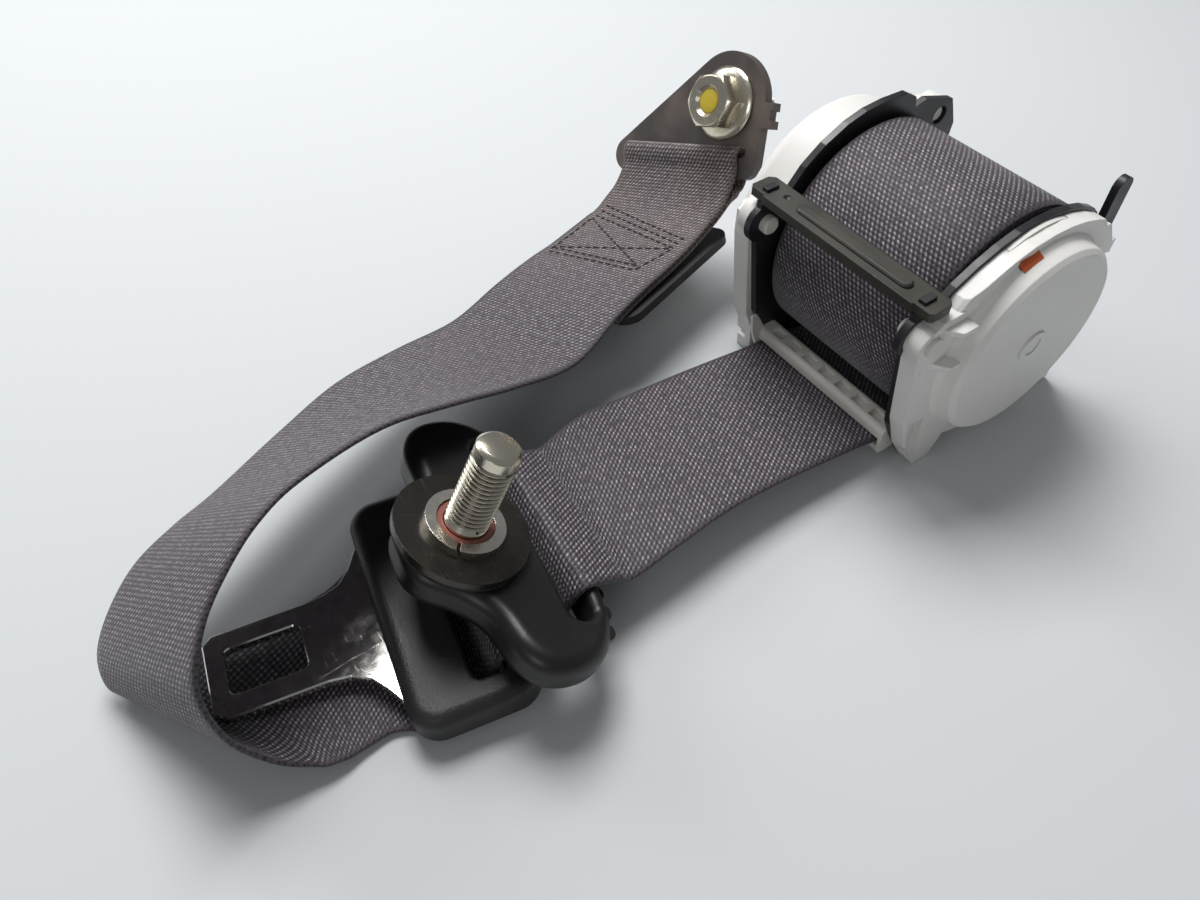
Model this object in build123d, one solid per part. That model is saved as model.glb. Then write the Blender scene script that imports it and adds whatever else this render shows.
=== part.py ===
from build123d import *
import os
from math import cos, radians, sin, sqrt

# Seat belt: retractor, guide ring, tongue and floor anchor, in millimetres
# X runs along the spool axis, the webbing leaves the retractor towards -Y
# The retractor's back plate lies on z = 0

# Webbing
webbing_width = 47.0
webbing_thick = 1.2
soft_gap = 0.3          # webbing to the next layer or to a hard piece
# Retractor
axis_z = 36.0           # spool axis above the back plate's underside
plate_inside = webbing_width / 2 + 1.5    # middle of the spool to a side plate's inner face
plate_thick = 2.0
frame_rear = 34.0       # spool axis to the rear edge of the side plates
roll_radius = 32.0
core_radius = 8.5
run_gap = 0.05          # radial clearance of a running fit
side_gap = 0.3          # end clearance beside a turning piece
tooth_count = 24
ratchet_radius = 19.0
lock_disc_radius = 16.5
pawl_swing = 7.5        # degrees from released to fully in the ratchet
ball_radius = 3.4
ball_travel = 1.5
lever_swing = 14.0      # degrees, at the end of the ball's travel
peg_radius = 2.5
cover_radius = 31.0
spring_case_radius = 27.0
spring_flange_radius = 33.4
mount_hole = 11.0       # diameter of the retractor's bolt hole
mount_hole_y = 46.0
# Guide ring
ring_centre = (2.0, -144.4, 25.4)
ring_tilt = 25.2        # lean of the pillar bolt from upright
ring_lean_to = 76.0     # compass direction of that lean, from +X towards +Y
ring_turn = -4.3        # turn of the ring about its own bolt
ring_thick = 10.0
ring_plate_thick = 3.0
ring_half = webbing_width / 2 + 13.7
ring_shift = 0.8        # middle of the ring beyond its bolt, along the slot
bolt_radius = 5.0       # M10
bolt_reach = 32.6       # free end of the pillar bolt above the ring's mid plane
# Tongue
tongue_at = (-1.0, -155.0, 0.0)
tongue_turn = -11.0
tongue_thick = 2.2
tongue_low = 5.0        # underside of the tongue plate
handle_long = webbing_width + 17.0
handle_deep = 30.0
handle_top = 11.5
handle_low = 2.0
# Floor anchor
anchor_at = (-79.5, -17.0, 32.3)
anchor_x = (0.92, 0.20, 0.34)
anchor_normal = (0.038, -0.903, 0.428)
anchor_thick = 3.0
anchor_bolt_at = (15.0, 17.4)
anchor_bolt_long = 16.0
shank_slim = 0.25       # the shanks are this much slimmer in radius next to the heads
pillar_slim_to = 11.0   # above the ring's mid plane
anchor_slim_to = 3.8    # below the anchor plate's mid plane

plate_out = plate_inside + plate_thick
LOW = (Align.MIN, Align.MIN, Align.MIN)
UP = (Align.CENTER, Align.CENTER, Align.MIN)


# Shape helpers

def left(outward):
    """x of a point this far outside the left side plate."""
    return -plate_out - outward


def right(outward):
    """x of a point this far outside the right side plate."""
    return plate_out + outward


def block(x0, x1, y0, y1, z0, z1):
    """Box between two opposite corners."""
    return Pos(x0, y0, z0) * Box(x1 - x0, y1 - y0, z1 - z0, align=LOW)


def drum(radius, x0, x1, y=0.0, z=axis_z):
    """Cylinder lying along X from x0 to x1."""
    return Pos(x0, y, z) * Rot(0, 90, 0) * Cylinder(radius, x1 - x0, align=UP)


def upright(radius, z0, z1, x=0.0, y=0.0):
    """Cylinder standing along Z from z0 to z1."""
    return Pos(x, y, z0) * Cylinder(radius, z1 - z0, align=UP)


def side_prism(points, x0, x1):
    """Prism of a (y, z) outline between two x positions."""
    wire = Polyline(*[(x0, y, z) for y, z in points], close=True)
    return Part() + extrude(Face(Wire(wire.edges())), amount=x1 - x0, dir=(1, 0, 0))


def flat_prism(points, z0, z1):
    """Prism of an (x, y) outline between two heights."""
    wire = Polyline(*[(x, y, z0) for x, y in points], close=True)
    return Part() + extrude(Face(Wire(wire.edges())), amount=z1 - z0, dir=(0, 0, 1))


def blob_prism(points, z0, z1):
    """Prism of a smooth closed curve through (x, y) points."""
    curve = Spline(*[(x, y, z0) for x, y in points], periodic=True)
    return Part() + extrude(Face(Wire([curve])), amount=z1 - z0, dir=(0, 0, 1))


def polar(radius, angle):
    """Point (y, z) at a radius and an angle in degrees about the spool axis."""
    return (radius * cos(radians(angle)), axis_z + radius * sin(radians(angle)))


def toothed(tip, root, phase, x0, x1):
    """Disc with saw teeth, steep on the side that takes the load."""
    pitch = 360.0 / tooth_count
    points = []
    for k in range(tooth_count):
        a = phase + k * pitch
        points += [polar(root, a), polar(root, a + 0.33 * pitch),
                   polar(tip, a + 0.37 * pitch), polar(tip, a + 0.5 * pitch)]
    return side_prism(points, x0, x1)


def edges_near(shape, test):
    """Edges whose centre passes the test."""
    return shape.edges().filter_by(lambda e: test(e.center()))


# Frame

def left_outline():
    """Left side plate, with the high crest that shields the roll."""
    return [(-22.5, 0), (-28.5, 10), (-32.5, 18), (-36.5, 44), (-36.5, 56.3), (-27.0, 56.3),
            (-22.9, 61.4), (-17, 65.8), (-10, 69.2), (-4, 70.8), (3, 71.3), (10.6, 71.0),
            (14.6, 68.8), (15.4, 65.6), (19.6, 66.6), (30.8, 63.2), (34.5, 55), (frame_rear, 48),
            (frame_rear, 0)]


def right_outline():
    """Right side plate, lower, with the locating finger at the rear."""
    return [(-22.5, 0), (-28.5, 10), (-32.5, 18), (-36.5, 44), (-36.5, 56.3), (-28.6, 56.3)] + \
        right_crest() + [(27.6, 51.5), (31.3, 48), (31.3, 62.3), (36.8, 62.3), (36.8, 44),
                         (frame_rear, 38), (frame_rear, 0)]


def right_crest():
    """Top edge of the right side plate, from front to rear."""
    return [(-25, 59), (-19, 62.2), (-12.7, 64.6), (-6.5, 66.1), (0, 66.6), (6, 66.3),
            (12, 65.2), (17.8, 63.4), (22.9, 61), (25.7, 58.6)]


def side_plate(side):
    """One side plate with its ear, tab for the tie bar and holes."""
    x0, x1 = (-plate_out, -plate_inside) if side < 0 else (plate_inside, plate_out)
    plate = side_prism(left_outline() if side < 0 else right_outline(), x0, x1)
    plate += drum(5.6, x0, x1, -34.3, 49.3)
    plate += block(x0, x1, -35.2, -31.4, 50, 59.7)
    if side > 0:
        plate += drum(2.75, x0, x1, 34.05, 62.3)
    plate -= drum(12.0 if side < 0 else 9.0, x0 - 1, x1 + 1)
    for y, z in peg_places(side):
        plate -= drum(peg_radius + run_gap, x0 - 1, x1 + 1, y, z)
    return plate


def peg_places(side):
    """Where the covers are pinned to a side plate, as (y, z)."""
    places = [(-34.0, 49.5), (28.5, 11.0)]
    return places + ([(27.0, 59.5)] if side < 0 else [])


def frame():
    """Bent steel frame: back plate, two side plates and a bolted tail."""
    floor = block(-plate_out, plate_out, -22, frame_rear, 0, plate_thick)
    root = plate_inside - 1
    tail = flat_prism([(-root, frame_rear - 1), (root, frame_rear - 1), (11.4, mount_hole_y + 4),
                       (-11.4, mount_hole_y + 4)], 0, plate_thick)
    tail += upright(12.0, 0, plate_thick, 0, mount_hole_y)
    shell = floor + tail + side_plate(-1) + side_plate(1)
    outer = edges_near(shell, lambda c: abs(c.Z) < 0.01 and abs(abs(c.X) - plate_out) < 0.01)
    shell = fillet(outer, 1.6)
    shell -= upright(mount_hole / 2, -1, plate_thick + 1, 0, mount_hole_y)
    shell -= drum(peg_radius, -plate_out - 1, -plate_inside + 1, *pawl_pivot())
    for x in (-14.0, 14.0):
        shell -= upright(2.6, -1, plate_thick + 1, x, 27.0)
    return shell


def tie_bar():
    """Cross bar that ties the front tops of the side plates together."""
    y0, y1, z0, z1 = -37.0, -28.8, 56.5, 58.9
    bar = block(left(3.3), right(3.3), y0, y1, z0, z1)
    bar = chamfer(bar.edges().filter_by(Axis.Z), 1.4)
    rib = Pos(2.5, -33, z1) * extrude(SlotOverall(37, 3.6), 0.9)
    rib = chamfer(rib.edges().group_by(Axis.Z)[-1], 0.5)
    bar += rib
    bar -= Pos(2.5, -33, z0) * extrude(SlotOverall(34, 2.0), 1.4)
    bar -= Pos(-20.7, -32.3, z1 + 0.6) * Sphere(1.3)
    for x in (left(1.0), right(1.0)):
        bar -= block(x - 3.2, x + 3.2, -38, -36.4, z0 - 1, z1 + 1)
    gap = 0.05
    for x0 in (-plate_out, plate_inside):
        bar -= block(x0 - gap, x0 + plate_thick + gap, -35.2 - gap, -31.4 + gap, z0 - 1, z1 + 2)
    return bar


# Spool group

def hex_bar(corner, x0, x1, y=0.0, z=axis_z):
    """Six-sided bar along X; corner is its circumscribed radius."""
    ring = RegularPolygon(corner, 6, major_radius=True)
    return Pos(x0, y, z) * Rot(0, 90, 0) * extrude(ring, x1 - x0)


bar_radius = 4.0
bar_head = 5.0
bar_lock_head = 6.0
boss_radius = 9.0
journal_radius = 6.0
arbor_square = 7.0


def spool():
    """Hollow spool: core, flanges, left boss, right journal and square end."""
    inner, flange = plate_inside - 1.2, plate_inside - 0.4
    body = drum(core_radius, -inner, inner)
    for s in (-1, 1):
        body += drum(15.0, min(s * inner, s * flange), max(s * inner, s * flange))
    body += drum(boss_radius, left(0.2), -flange)
    body += drum(journal_radius, flange, right(1.6))
    half = arbor_square / 2
    body += block(right(1.6), right(7.0), -half, half, axis_z - half, axis_z + half)
    body -= drum(bar_head + 0.1, left(1.0), 14.0)
    body -= hex_bar(bar_head + run_gap, 13.9, 22.2)
    mouth = webbing_width / 2 - 0.1
    body -= block(-mouth, mouth, 6.0, 7.4, axis_z - 12, axis_z + 12)
    return body


def torsion_bar():
    """Load limiting bar inside the spool, keyed at both ends."""
    bar = drum(bar_radius, left(0.5), 14.2)
    bar += hex_bar(bar_head, 14.0, 22.0)
    bar += hex_bar(bar_lock_head, left(4.0), left(0.4))
    bar += drum(3.0, left(7.2), left(4.0))
    return bar


def webbing_roll():
    """Webbing wound on the spool."""
    half = webbing_width / 2
    return drum(roll_radius, -half, half) - drum(core_radius, -half - 1, half + 1)


def ratchet_wheel():
    """Toothed steel wheel that the pawl stops."""
    wheel = toothed(ratchet_radius, ratchet_radius - 2.4, ratchet_phase, left(3.6), left(0.6))
    wheel -= hex_bar(bar_lock_head + run_gap, left(4), left(0))
    for k in range(6):
        y, z = polar(11.4, 60 * k + 30)
        wheel -= drum(2.2, left(4), left(0), y, z)
    return wheel


def lock_disc():
    """Plastic disc that the sensor lever catches."""
    disc = toothed(lock_disc_radius, lock_disc_radius - 1.9, disc_phase, left(6.8), left(4.4))
    disc -= drum(12.6, left(7.5), left(6.0)) - drum(5.0, left(7.5), left(6.0))
    disc -= drum(3.0 + run_gap, left(8), left(4))
    return disc


ratchet_phase = -103.0
disc_phase = -0.2
pawl_reach = 26.5
pawl_angle = -50.0


def pawl_pivot():
    """Pawl pin centre as (y, z)."""
    return polar(pawl_reach, pawl_angle)


def lock_pawl():
    """Curved pawl, drawn engaged and then swung out to its released rest."""
    x0, x1 = left(3.4), left(0.8)
    tooth = [polar(17.1, -101.6), polar(17.1, -99.2), polar(19.5, -97.6), polar(19.5, -92),
             polar(19.4, -84), polar(19.5, -76), polar(20.4, -66), polar(23.5, -58),
             polar(29.5, -53), polar(27.5, -66), polar(25.0, -80), polar(23.4, -92),
             polar(22.0, -101), polar(20.6, -104), polar(19.4, -103.2)]
    pawl = side_prism(tooth, x0, x1)
    y, z = pawl_pivot()
    pawl += drum(5.2, x0, x1, y, z)
    pawl -= drum(peg_radius + run_gap, x0 - 1, x1 + 1, y, z)
    return pawl.rotate(Axis((0, y, z), (1, 0, 0)), pawl_swing)


def pawl_pin():
    """Riveted pin for the pawl, tight in the left side plate."""
    y, z = pawl_pivot()
    return drum(peg_radius, left(4.2), -plate_inside, y, z) + drum(4.0, left(4.6), left(3.7), y, z)


# Vehicle sensor

ball_at = (24.2, 36.0)
lever_pivot = (19.8, 42.5)


def sensor_housing():
    """Box that holds the ball seat and the lever's pivot ears."""
    by, bz = ball_at
    y, z = lever_pivot
    x0, x1 = left(12.2), left(4.2)
    front = by - 3.3
    box = block(x0, x1, front, by + 4.8, bz - 6.5, bz + 7.0)
    box = chamfer(box.edges().filter_by(Axis.X).group_by(Axis.Y)[-1], 1.2)
    box -= Pos(left(8.4), by, bz) * Rot(90, 0, 0) * Cylinder(ball_radius + run_gap, 10, align=UP)
    box -= Pos(left(8.4), by, bz) * Sphere(ball_radius + run_gap)
    for x in (x0, x1 - 1.1):
        box += block(x, x + 1.1, y - 1.5, front + 0.3, z - 1.6, z + 1.6)
    box += block(x0, x1, front, front + 5.1, bz + 6.8, z + 1.6)
    return box - drum(0.8 + run_gap, x0 - 1, x1 + 1, y, z)


def sensor_ball():
    """Steel ball that leaves its seat when the vehicle brakes or tips."""
    return Pos(left(8.4), *ball_at) * Sphere(ball_radius)


def sensor_lever():
    """Lever that the ball pushes into the lock disc."""
    y, z = lever_pivot
    x0, x1 = left(10.9), left(5.5)
    lever = block(x0, x1, y - 0.5, y + 0.5, z - 12.5, z)
    lever += drum(0.8, left(12.0), left(4.5), y, z)
    lever += drum(1.0, x0, x1, y, z)
    lever += side_prism([(y - 0.4, z - 5.3), (y - 2.4, z - 6.2), (y - 2.4, z - 7.0),
                         (y - 0.4, z - 8.5)], left(7.0), left(5.6))
    return lever


# Side covers

def lugs(side, depth, reach):
    """Round lugs where a cover is pinned, each on an arm from the cover's rim."""
    shape = Part()
    x0, x1 = (left(depth), left(0)) if side < 0 else (right(0), right(depth))
    for y, z in peg_places(side):
        shape += drum(4.6, x0, x1, y, z)
        far = sqrt(y * y + (z - axis_z) ** 2)
        k = (reach - 3.0) / far
        dy, dz = y / far * 3.4, (z - axis_z) / far * 3.4
        near_y, near_z = y * k, axis_z + (z - axis_z) * k
        shape += side_prism([(near_y - dz, near_z + dy), (y - dz, z + dy), (y + dz, z - dy),
                             (near_y + dz, near_z - dy)], x0, x1)
    return shape


def peg_holes(side):
    """Clearance holes for the pins through a cover."""
    shape = Part()
    for y, z in peg_places(side):
        shape += drum(peg_radius + run_gap, side * (plate_out + 13) - 20,
                      side * (plate_out + 13) + 20, y, z)
    return shape


def lock_cover():
    """White cover over the locking side, with sensor pocket, front flange and foot."""
    x_in, x_out, wall = left(0), left(14.0), 1.7
    shell = drum(cover_radius, x_out, x_in)
    shell = fillet(shell.edges().filter_by(GeomType.CIRCLE).group_by(Axis.X)[0], 4.5)
    pocket = block(x_out, x_in, 8.0, frame_rear - 0.2, 5.8, 46.6)
    pocket = fillet(pocket.edges().filter_by(Axis.X).group_by(Axis.Y)[-1], 5.0)
    pocket = fillet(pocket.faces().sort_by(Axis.X)[0].edges(), 1.4)
    flange = side_prism([(-24, 0), (-30.5, 0.0), (-31.6, 11), (-34.2, 17), (-37.6, 44),
                         (-37.6, 51), (-28, 56), (-18, 50), (-18, 0)], left(5.6), x_in)
    shell += pocket + flange + lugs(-1, 4.0, cover_radius)
    shell += block(left(4.0), x_in, 20, frame_rear, 0.3, 16)
    shell -= drum(cover_radius - wall, x_out + wall, x_in + 1)
    shell -= block(x_out + wall, x_in + 1, 9.7, frame_rear - 0.2 - wall, 5.8 + wall, 46.6 - wall)
    shell -= peg_holes(-1)
    front = block(left(6.0), left(2.0), -34.8, -29.6, 4, 11)
    return shell - (front & block(left(6.0), left(2.0), -31.2, -24, 4, 14))


def spring_plate():
    """Plastic plate between the frame and the return spring."""
    return drum(30.0, right(0), right(1.4)) - drum(6.6, right(-1), right(2))


def spring_cover():
    """White case of the return spring, with flange, ribs, ear and foot."""
    case, rim = spring_case_radius, spring_flange_radius
    face = [(0, 10.4), (case - 1.8, 10.4), (case - 0.6, 9.2), (case, 6.0), (case + 1.0, 4.6),
            (rim - 1.6, 4.6), (rim - 0.4, 4.0), (rim, 2.8), (rim, 0), (30.1, 0), (30.1, 1.45),
            (case - 1.8, 1.45), (case - 1.8, 8.8), (0, 8.8)]
    wire = Polyline(*[(right(d), r, axis_z) for r, d in face], close=True)
    shell = Part() + revolve(Face(Wire(wire.edges())), Axis((0, 0, axis_z), (1, 0, 0)))
    flange = side_prism([(-17, 0), (-23, 0), (-28.8, 9), (-33.9, 22), (-37.9, 45), (-37.9, 51.4),
                         (-32.5, 55.4), (-22, 55.6), (-14, 50), (-16, 20), (-14, 6)],
                        right(0), right(4.6))
    ear = side_prism([(20, 50), (31.6, 47), (31.6, 56), (27, 58.5), (20, 58)], right(0), right(4.6))
    foot = block(right(0), right(4.0), 20, frame_rear, 0.3, 16)
    shell += flange + ear + foot + lugs(1, 4.6, rim)
    hollow = drum(30.1, right(-1), right(1.45)) + drum(case - 1.8, right(1), right(8.8))
    shell -= hollow
    for z in (52.5, 41.9):
        y0, y1 = -35.5, -24.0
        rib = block(right(4.5), right(8.0), y0, y1, z - 0.7, z + 0.7)
        rib -= Pos(right(9.2), y0, z) * Rot(0, 0, 38) * Box(7, 12, 3)
        shell += rib - hollow
    crest = [(y, z - crest_step) for y, z in right_crest()]
    shell -= side_prism([(-32, 57.6)] + crest + [(30.5, 50.5), (50, 60), (50, 90), (-32, 90)],
                        right(-1), right(6.0))
    shell -= side_prism([(-24, 3), (-27.5, 3), (-31.6, 21), (-26, 21)], right(2.4), right(5))
    shell -= block(right(3.9), right(5.5), -11.0, -4.8, 59.8, 63.2)
    shell += drum(4.4, right(10.0), right(11.0)) - drum(2.6, right(10.6), right(11.5))
    return shell - peg_holes(1)


crest_step = 1.0        # the spring cover's top stays this far below the plate's top edge


def spiral_spring():
    """Return spring: a flat strip wound in half turns of growing radius."""
    thick, first, last, turns = 0.5, 8.6, 24.4, 9
    step = (last - first) / (2 * turns)
    radius, centre, upper = first, 0.0, True
    wire = []
    for k in range(2 * turns):
        a = (centre - radius, axis_z) if upper else (centre + radius, axis_z)
        b = (centre, axis_z + radius) if upper else (centre, axis_z - radius)
        c = (centre + radius, axis_z) if upper else (centre - radius, axis_z)
        wire.append(ThreePointArc(*[(right(1.9), y, z) for y, z in (a, b, c)]))
        end = c[0]
        radius += step / 2
        centre = end - radius if upper else end + radius
        upper = not upper
    path = Wire(wire)
    tip = wire[0] @ 0
    strip = Plane(origin=tip, x_dir=(0, 1, 0), z_dir=(0, 0, 1)) * Rectangle(thick, 6.0)
    return Part() + sweep(Pos(3.0, 0, 0) * strip, path=path)


def spring_arbor():
    """Hub that couples the spring to the spool's square end."""
    hub = drum(7.8, right(1.7), right(8.4))
    half = arbor_square / 2 + run_gap
    return hub - block(right(1), right(7.2), -half, half, axis_z - half, axis_z + half)


def webbing_guide():
    """White guide at the mouth of the frame."""
    end = plate_inside - 0.1
    slot_half = webbing_width / 2 + 0.4
    guide = block(-end, end, -30.5, -23.5, 2.6, 11.5)
    guide = fillet(guide.edges().filter_by(Axis.X), 1.6)
    guide -= block(-slot_half, slot_half, -32, -22, 5.4, 8.1)
    for k in range(7):
        x = -19.5 + 6.5 * k
        guide -= block(x - 2.1, x + 2.1, -28.6, -25.6, 10.7, 12)
    bracket = side_prism([(-24.6, 3), (-30.2, 3), (-33.6, 12), (-34.4, 18), (-32.6, 18),
                          (-28.6, 11)], -end, -end + 1.0)
    return guide + bracket


def snap_pegs():
    """White pins that hold the covers to the side plates, one solid each."""
    pegs = []
    for side, tail in ((-1, plate_out + 6.6), (1, plate_out + 5.6)):
        for y, z in peg_places(side):
            start = plate_inside - 2.4 if y < 0 else plate_inside + 0.9
            x = sorted((side * start, side * tail))
            peg = drum(peg_radius, x[0], x[1], y, z)
            tip = peg.edges().filter_by(GeomType.CIRCLE).sort_by(lambda e: abs(e.center().X))[0]
            peg = chamfer(tip, 0.6)
            pegs.append(peg)
    return Compound(children=pegs)


def spool_bushes():
    """Plastic bearings of the spool in the side plates."""
    end = plate_inside - 0.2
    one = drum(12.0, left(0.2), -end) - drum(boss_radius + run_gap, left(3), -end + 3)
    other = drum(9.0, end, right(0)) - drum(journal_radius + run_gap, end - 3, right(3))
    return Compound(children=[one, other])


# Guide ring, drawn flat and then leant into place

def ring_plane():
    """Plane of the ring: x along its slot, z along the pillar bolt."""
    tilt, lean = radians(ring_tilt), radians(ring_lean_to)
    normal = Vector(sin(tilt) * cos(lean), sin(tilt) * sin(lean), cos(tilt))
    along = Vector(normal.Z, 0, -normal.X).normalized()
    across = normal.cross(along)
    a = radians(ring_turn)
    return Plane(origin=ring_centre, x_dir=along * cos(a) + across * sin(a), z_dir=normal)


def mirrored(first, half, last):
    """Closed outline from the points of its right half, moved to the ring's middle."""
    points = [first] + half + [last] + [(-x, y) for x, y in reversed(half)]
    return [(ring_shift + x, y) for x, y in points]


def ring_outline(shrink=1.0):
    """Outline points of the ring about its bolt."""
    h = ring_half
    half = [(8, -11.6), (13.6, -5.4), (20, -1.4), (28, -0.2), (h - 2.6, 3.6), (h, 11.5),
            (h - 1.6, 18.2), (h - 6.7, 23.4), (h - 16.2, 26.8), (10.5, 28.8)]
    half = [(x * shrink, 8 + (y - 8) * shrink) for x, y in half]
    return mirrored((0, 8 - 21.9 * shrink), half, (0, 8 + 21.4 * shrink))


def ring_slot(grow, z0, z1):
    """Curved webbing slot of the ring."""
    end = ring_half - 13.7
    arc = ThreePointArc((-end, 18.6), (0, 20.2), (end, 18.6))
    return Pos(ring_shift, 0, z0) * extrude(SlotArc(arc, 6.5 + 2 * grow), z1 - z0)


def ring_plate():
    """Steel core of the ring."""
    half = ring_plate_thick / 2
    plate = blob_prism(ring_outline(0.915), -half, half)
    plate -= ring_slot(1.2, -9, 9)
    return plate - upright(8.0, -9, 9)


def slot_lips(body, half):
    """Edges of the ring's slot on its two faces."""
    def on_slot(edge):
        box = edge.bounding_box()
        return (abs(abs(edge.center().Z) - half) < 0.01 and box.min.Y > 14.0
                and box.max.Y < 24.5 and abs(edge.center().X) < ring_half - 8.2)
    return body.edges().filter_by(on_slot)


def ring_body():
    """Moulded ring around the steel core."""
    half = ring_thick / 2
    body = blob_prism(ring_outline(), -half, half)
    rim = body.edges().filter_by(lambda e: abs(abs(e.center().Z) - half) < 0.01)
    body = fillet(rim, 3.8)
    for x, y in ((ring_half - 17.0, 25.4), (ring_half - 11.8, 24.2), (ring_half - 7.2, 22.2)):
        for side in (-1, 1):
            body += Pos(ring_shift + side * x, y, 0) * Cylinder(2.2, 5.6)
    body -= ring_slot(0, -9, 9)
    body = fillet(slot_lips(body, half), 1.8)
    body -= ring_plate()
    body -= upright(11.2, 1.5, 9) + upright(11.2, -9, -1.5) + upright(8.0, -9, 9)
    return body


def ring_bush():
    """Plastic bush between the ring and the pillar bolt's shoulder."""
    bush = upright(7.95, -1.5, 1.6) + upright(11.0, 1.5, 2.3)
    return bush - upright(6.45, -9, 9)


def pillar_bolt():
    """M10 pillar bolt with flange, hexagon, shoulder and plain thread body."""
    bolt = upright(10.5, -3.1, -1.6)
    bolt += Pos(0, 0, -9.0) * extrude(RegularPolygon(17.0 / sqrt(3), 6), 6.0)
    bolt += upright(6.4, -1.7, 6.0)
    shank = upright(bolt_radius, pillar_slim_to, bolt_reach)
    shank = chamfer(shank.edges().group_by(Axis.Z)[-1], 1.0)
    bolt += shank + upright(bolt_radius - shank_slim, 5.9, pillar_slim_to + 0.1)
    neck = upright(bolt_radius + 1, bolt_reach - 4.2, bolt_reach - 3.2)
    return bolt - (neck - upright(bolt_radius - 0.5, 0, 60))


def washer(outer, inner, z0, z1):
    """Flat ring between two heights."""
    return upright(outer, z0, z1) - upright(inner, z0 - 1, z1 + 1)


def spring_washer():
    """Split spring washer."""
    ring = washer(9.05, 6.55, 7.8, 10.0)
    cut = Pos(8.0, 0, 8.9) * Rot(25, 0, 0) * Box(6, 0.7, 8)
    return ring - Rot(0, 0, -35) * cut


# Tongue, drawn along the axes and then turned on the floor

def tongue_place():
    """Place of the tongue on the floor."""
    return Pos(*tongue_at) * Rot(0, 0, tongue_turn)


def tongue_outline():
    """Outline of the tongue plate seen from above."""
    wing = handle_long / 2 - 3.7
    return [(-11.5, -45), (-9.5, -47.3), (8.2, -47.3), (10.4, -44.4), (10.4, -23), (11.2, -18),
            (13.6, -14.2), (17.2, -11.6), (wing - 6.8, -9.2), (wing - 5.8, -6), (wing, -4),
            (wing, 17.6), (-wing, 17.6), (-wing, -4), (5.8 - wing, -6), (6.8 - wing, -9.6),
            (-16.5, -12.4), (-13.4, -15.4), (-12, -19.4), (-11.5, -24)]


def tongue_plate():
    """Chromed tongue plate with the latch window and webbing opening."""
    top = tongue_low + tongue_thick
    plate = flat_prism(tongue_outline(), tongue_low, top)
    plate -= Pos(-0.8, -34.5, 0) * extrude(RectangleRounded(11.6, 17.0, 1.6), 20)
    hole = webbing_width / 2 + 3.1
    plate = chamfer(plate.edges().group_by(Axis.Z)[-1], 0.35)
    return plate - block(-hole, hole, 5.0, 15.2, 0, 20)


def tongue_handle():
    """Black moulding around the wide end of the tongue plate."""
    y0 = -9.0
    y1 = y0 + handle_deep
    half = handle_long / 2
    body = block(-half, half, y0, y1, handle_low, handle_top)
    body = fillet(body.edges().filter_by(Axis.Z), 7.0)
    body = fillet(body.edges().group_by(Axis.Z)[-1], 3.4)
    body = fillet(body.edges().group_by(Axis.Z)[0], 2.2)
    body -= Pos(0, 10.2, 0) * extrude(RectangleRounded(webbing_width + 3.0, 7.6, 2.0), 20)
    lip = edges_near(body, lambda c: abs(c.Z - handle_top) < 0.01 and 6.3 < c.Y < 14.1
                     and abs(c.X) < webbing_width / 2 + 1.6)
    body = fillet(lip, 1.2)
    return body - tongue_plate()


# Floor anchor, drawn flat and then stood up

def anchor_plane():
    """Plane of the anchor plate, through the middle of its webbing bar."""
    return Plane(origin=anchor_at, x_dir=anchor_x, z_dir=anchor_normal)


def anchor_plate():
    """Steel anchor plate with a webbing slot and a bolt hole."""
    bx, by = anchor_bolt_at
    end = webbing_width / 2 + 0.5
    corners = [Pos(-end, 1.5) * Circle(5), Pos(end, 1.5) * Circle(5), Pos(bx, by) * Circle(14.5)]
    edges = [e for c in corners for e in c.edges()]
    plate = extrude(make_hull(edges), anchor_thick)
    plate = Pos(0, 0, -anchor_thick / 2) * plate
    plate += Pos(bx + 15.2, by - 3, 0) * Box(5.0, 7.0, anchor_thick)
    plate -= Pos(bx + 18.2, by - 3, 0) * Box(3.2, 2.6, anchor_thick + 2)
    slot = extrude(Pos(0, 4.1) * RectangleRounded(webbing_width + 2.0, 3.0, 1.4), 20)
    plate -= Pos(0, 0, -10) * slot
    return plate - upright(bolt_radius + 0.4, -9, 9, bx, by)


def anchor_bolt():
    """Flange bolt through the anchor plate."""
    bx, by = anchor_bolt_at
    top = anchor_thick / 2
    bolt = upright(10.3, top + 0.05, top + 1.9, bx, by)
    head = Pos(bx, by, top + 1.8) * extrude(RegularPolygon(14.0 / sqrt(3), 6), 6.6)
    bolt += head
    shank = upright(bolt_radius, -top - anchor_bolt_long, -anchor_slim_to, bx, by)
    shank = chamfer(shank.edges().group_by(Axis.Z)[0], 1.0)
    return bolt + shank + upright(bolt_radius - shank_slim, -anchor_slim_to - 0.1, top + 1, bx, by)


def anchor_retainer():
    """Plastic ring that keeps the bolt in the anchor plate."""
    bx, by = anchor_bolt_at
    low = -anchor_thick / 2
    ring = upright(8.0, low - 2.0, low - 0.1, bx, by)
    return ring - upright(bolt_radius + run_gap, -20, 20, bx, by)


base_at = (-70.0, -50.0, 13.6)
base_x = (0.93, 0.27, 0.26)
base_normal = (-0.25, -0.10, 0.963)


def base_plane():
    """Plane of the plate that lies under the sewn end."""
    return Plane(origin=base_at, x_dir=base_x, z_dir=base_normal)


def anchor_base():
    """Flat black plate under the sewn end, with two raised bosses."""
    plate = extrude(RectangleRounded(54.0, 50.0, 5.0), 2.5)
    for x in (-12.0, 21.0):
        plate += Pos(x, -20.5, 2.4) * extrude(Circle(3.2), 0.3)
    return plate


# Webbing

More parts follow.
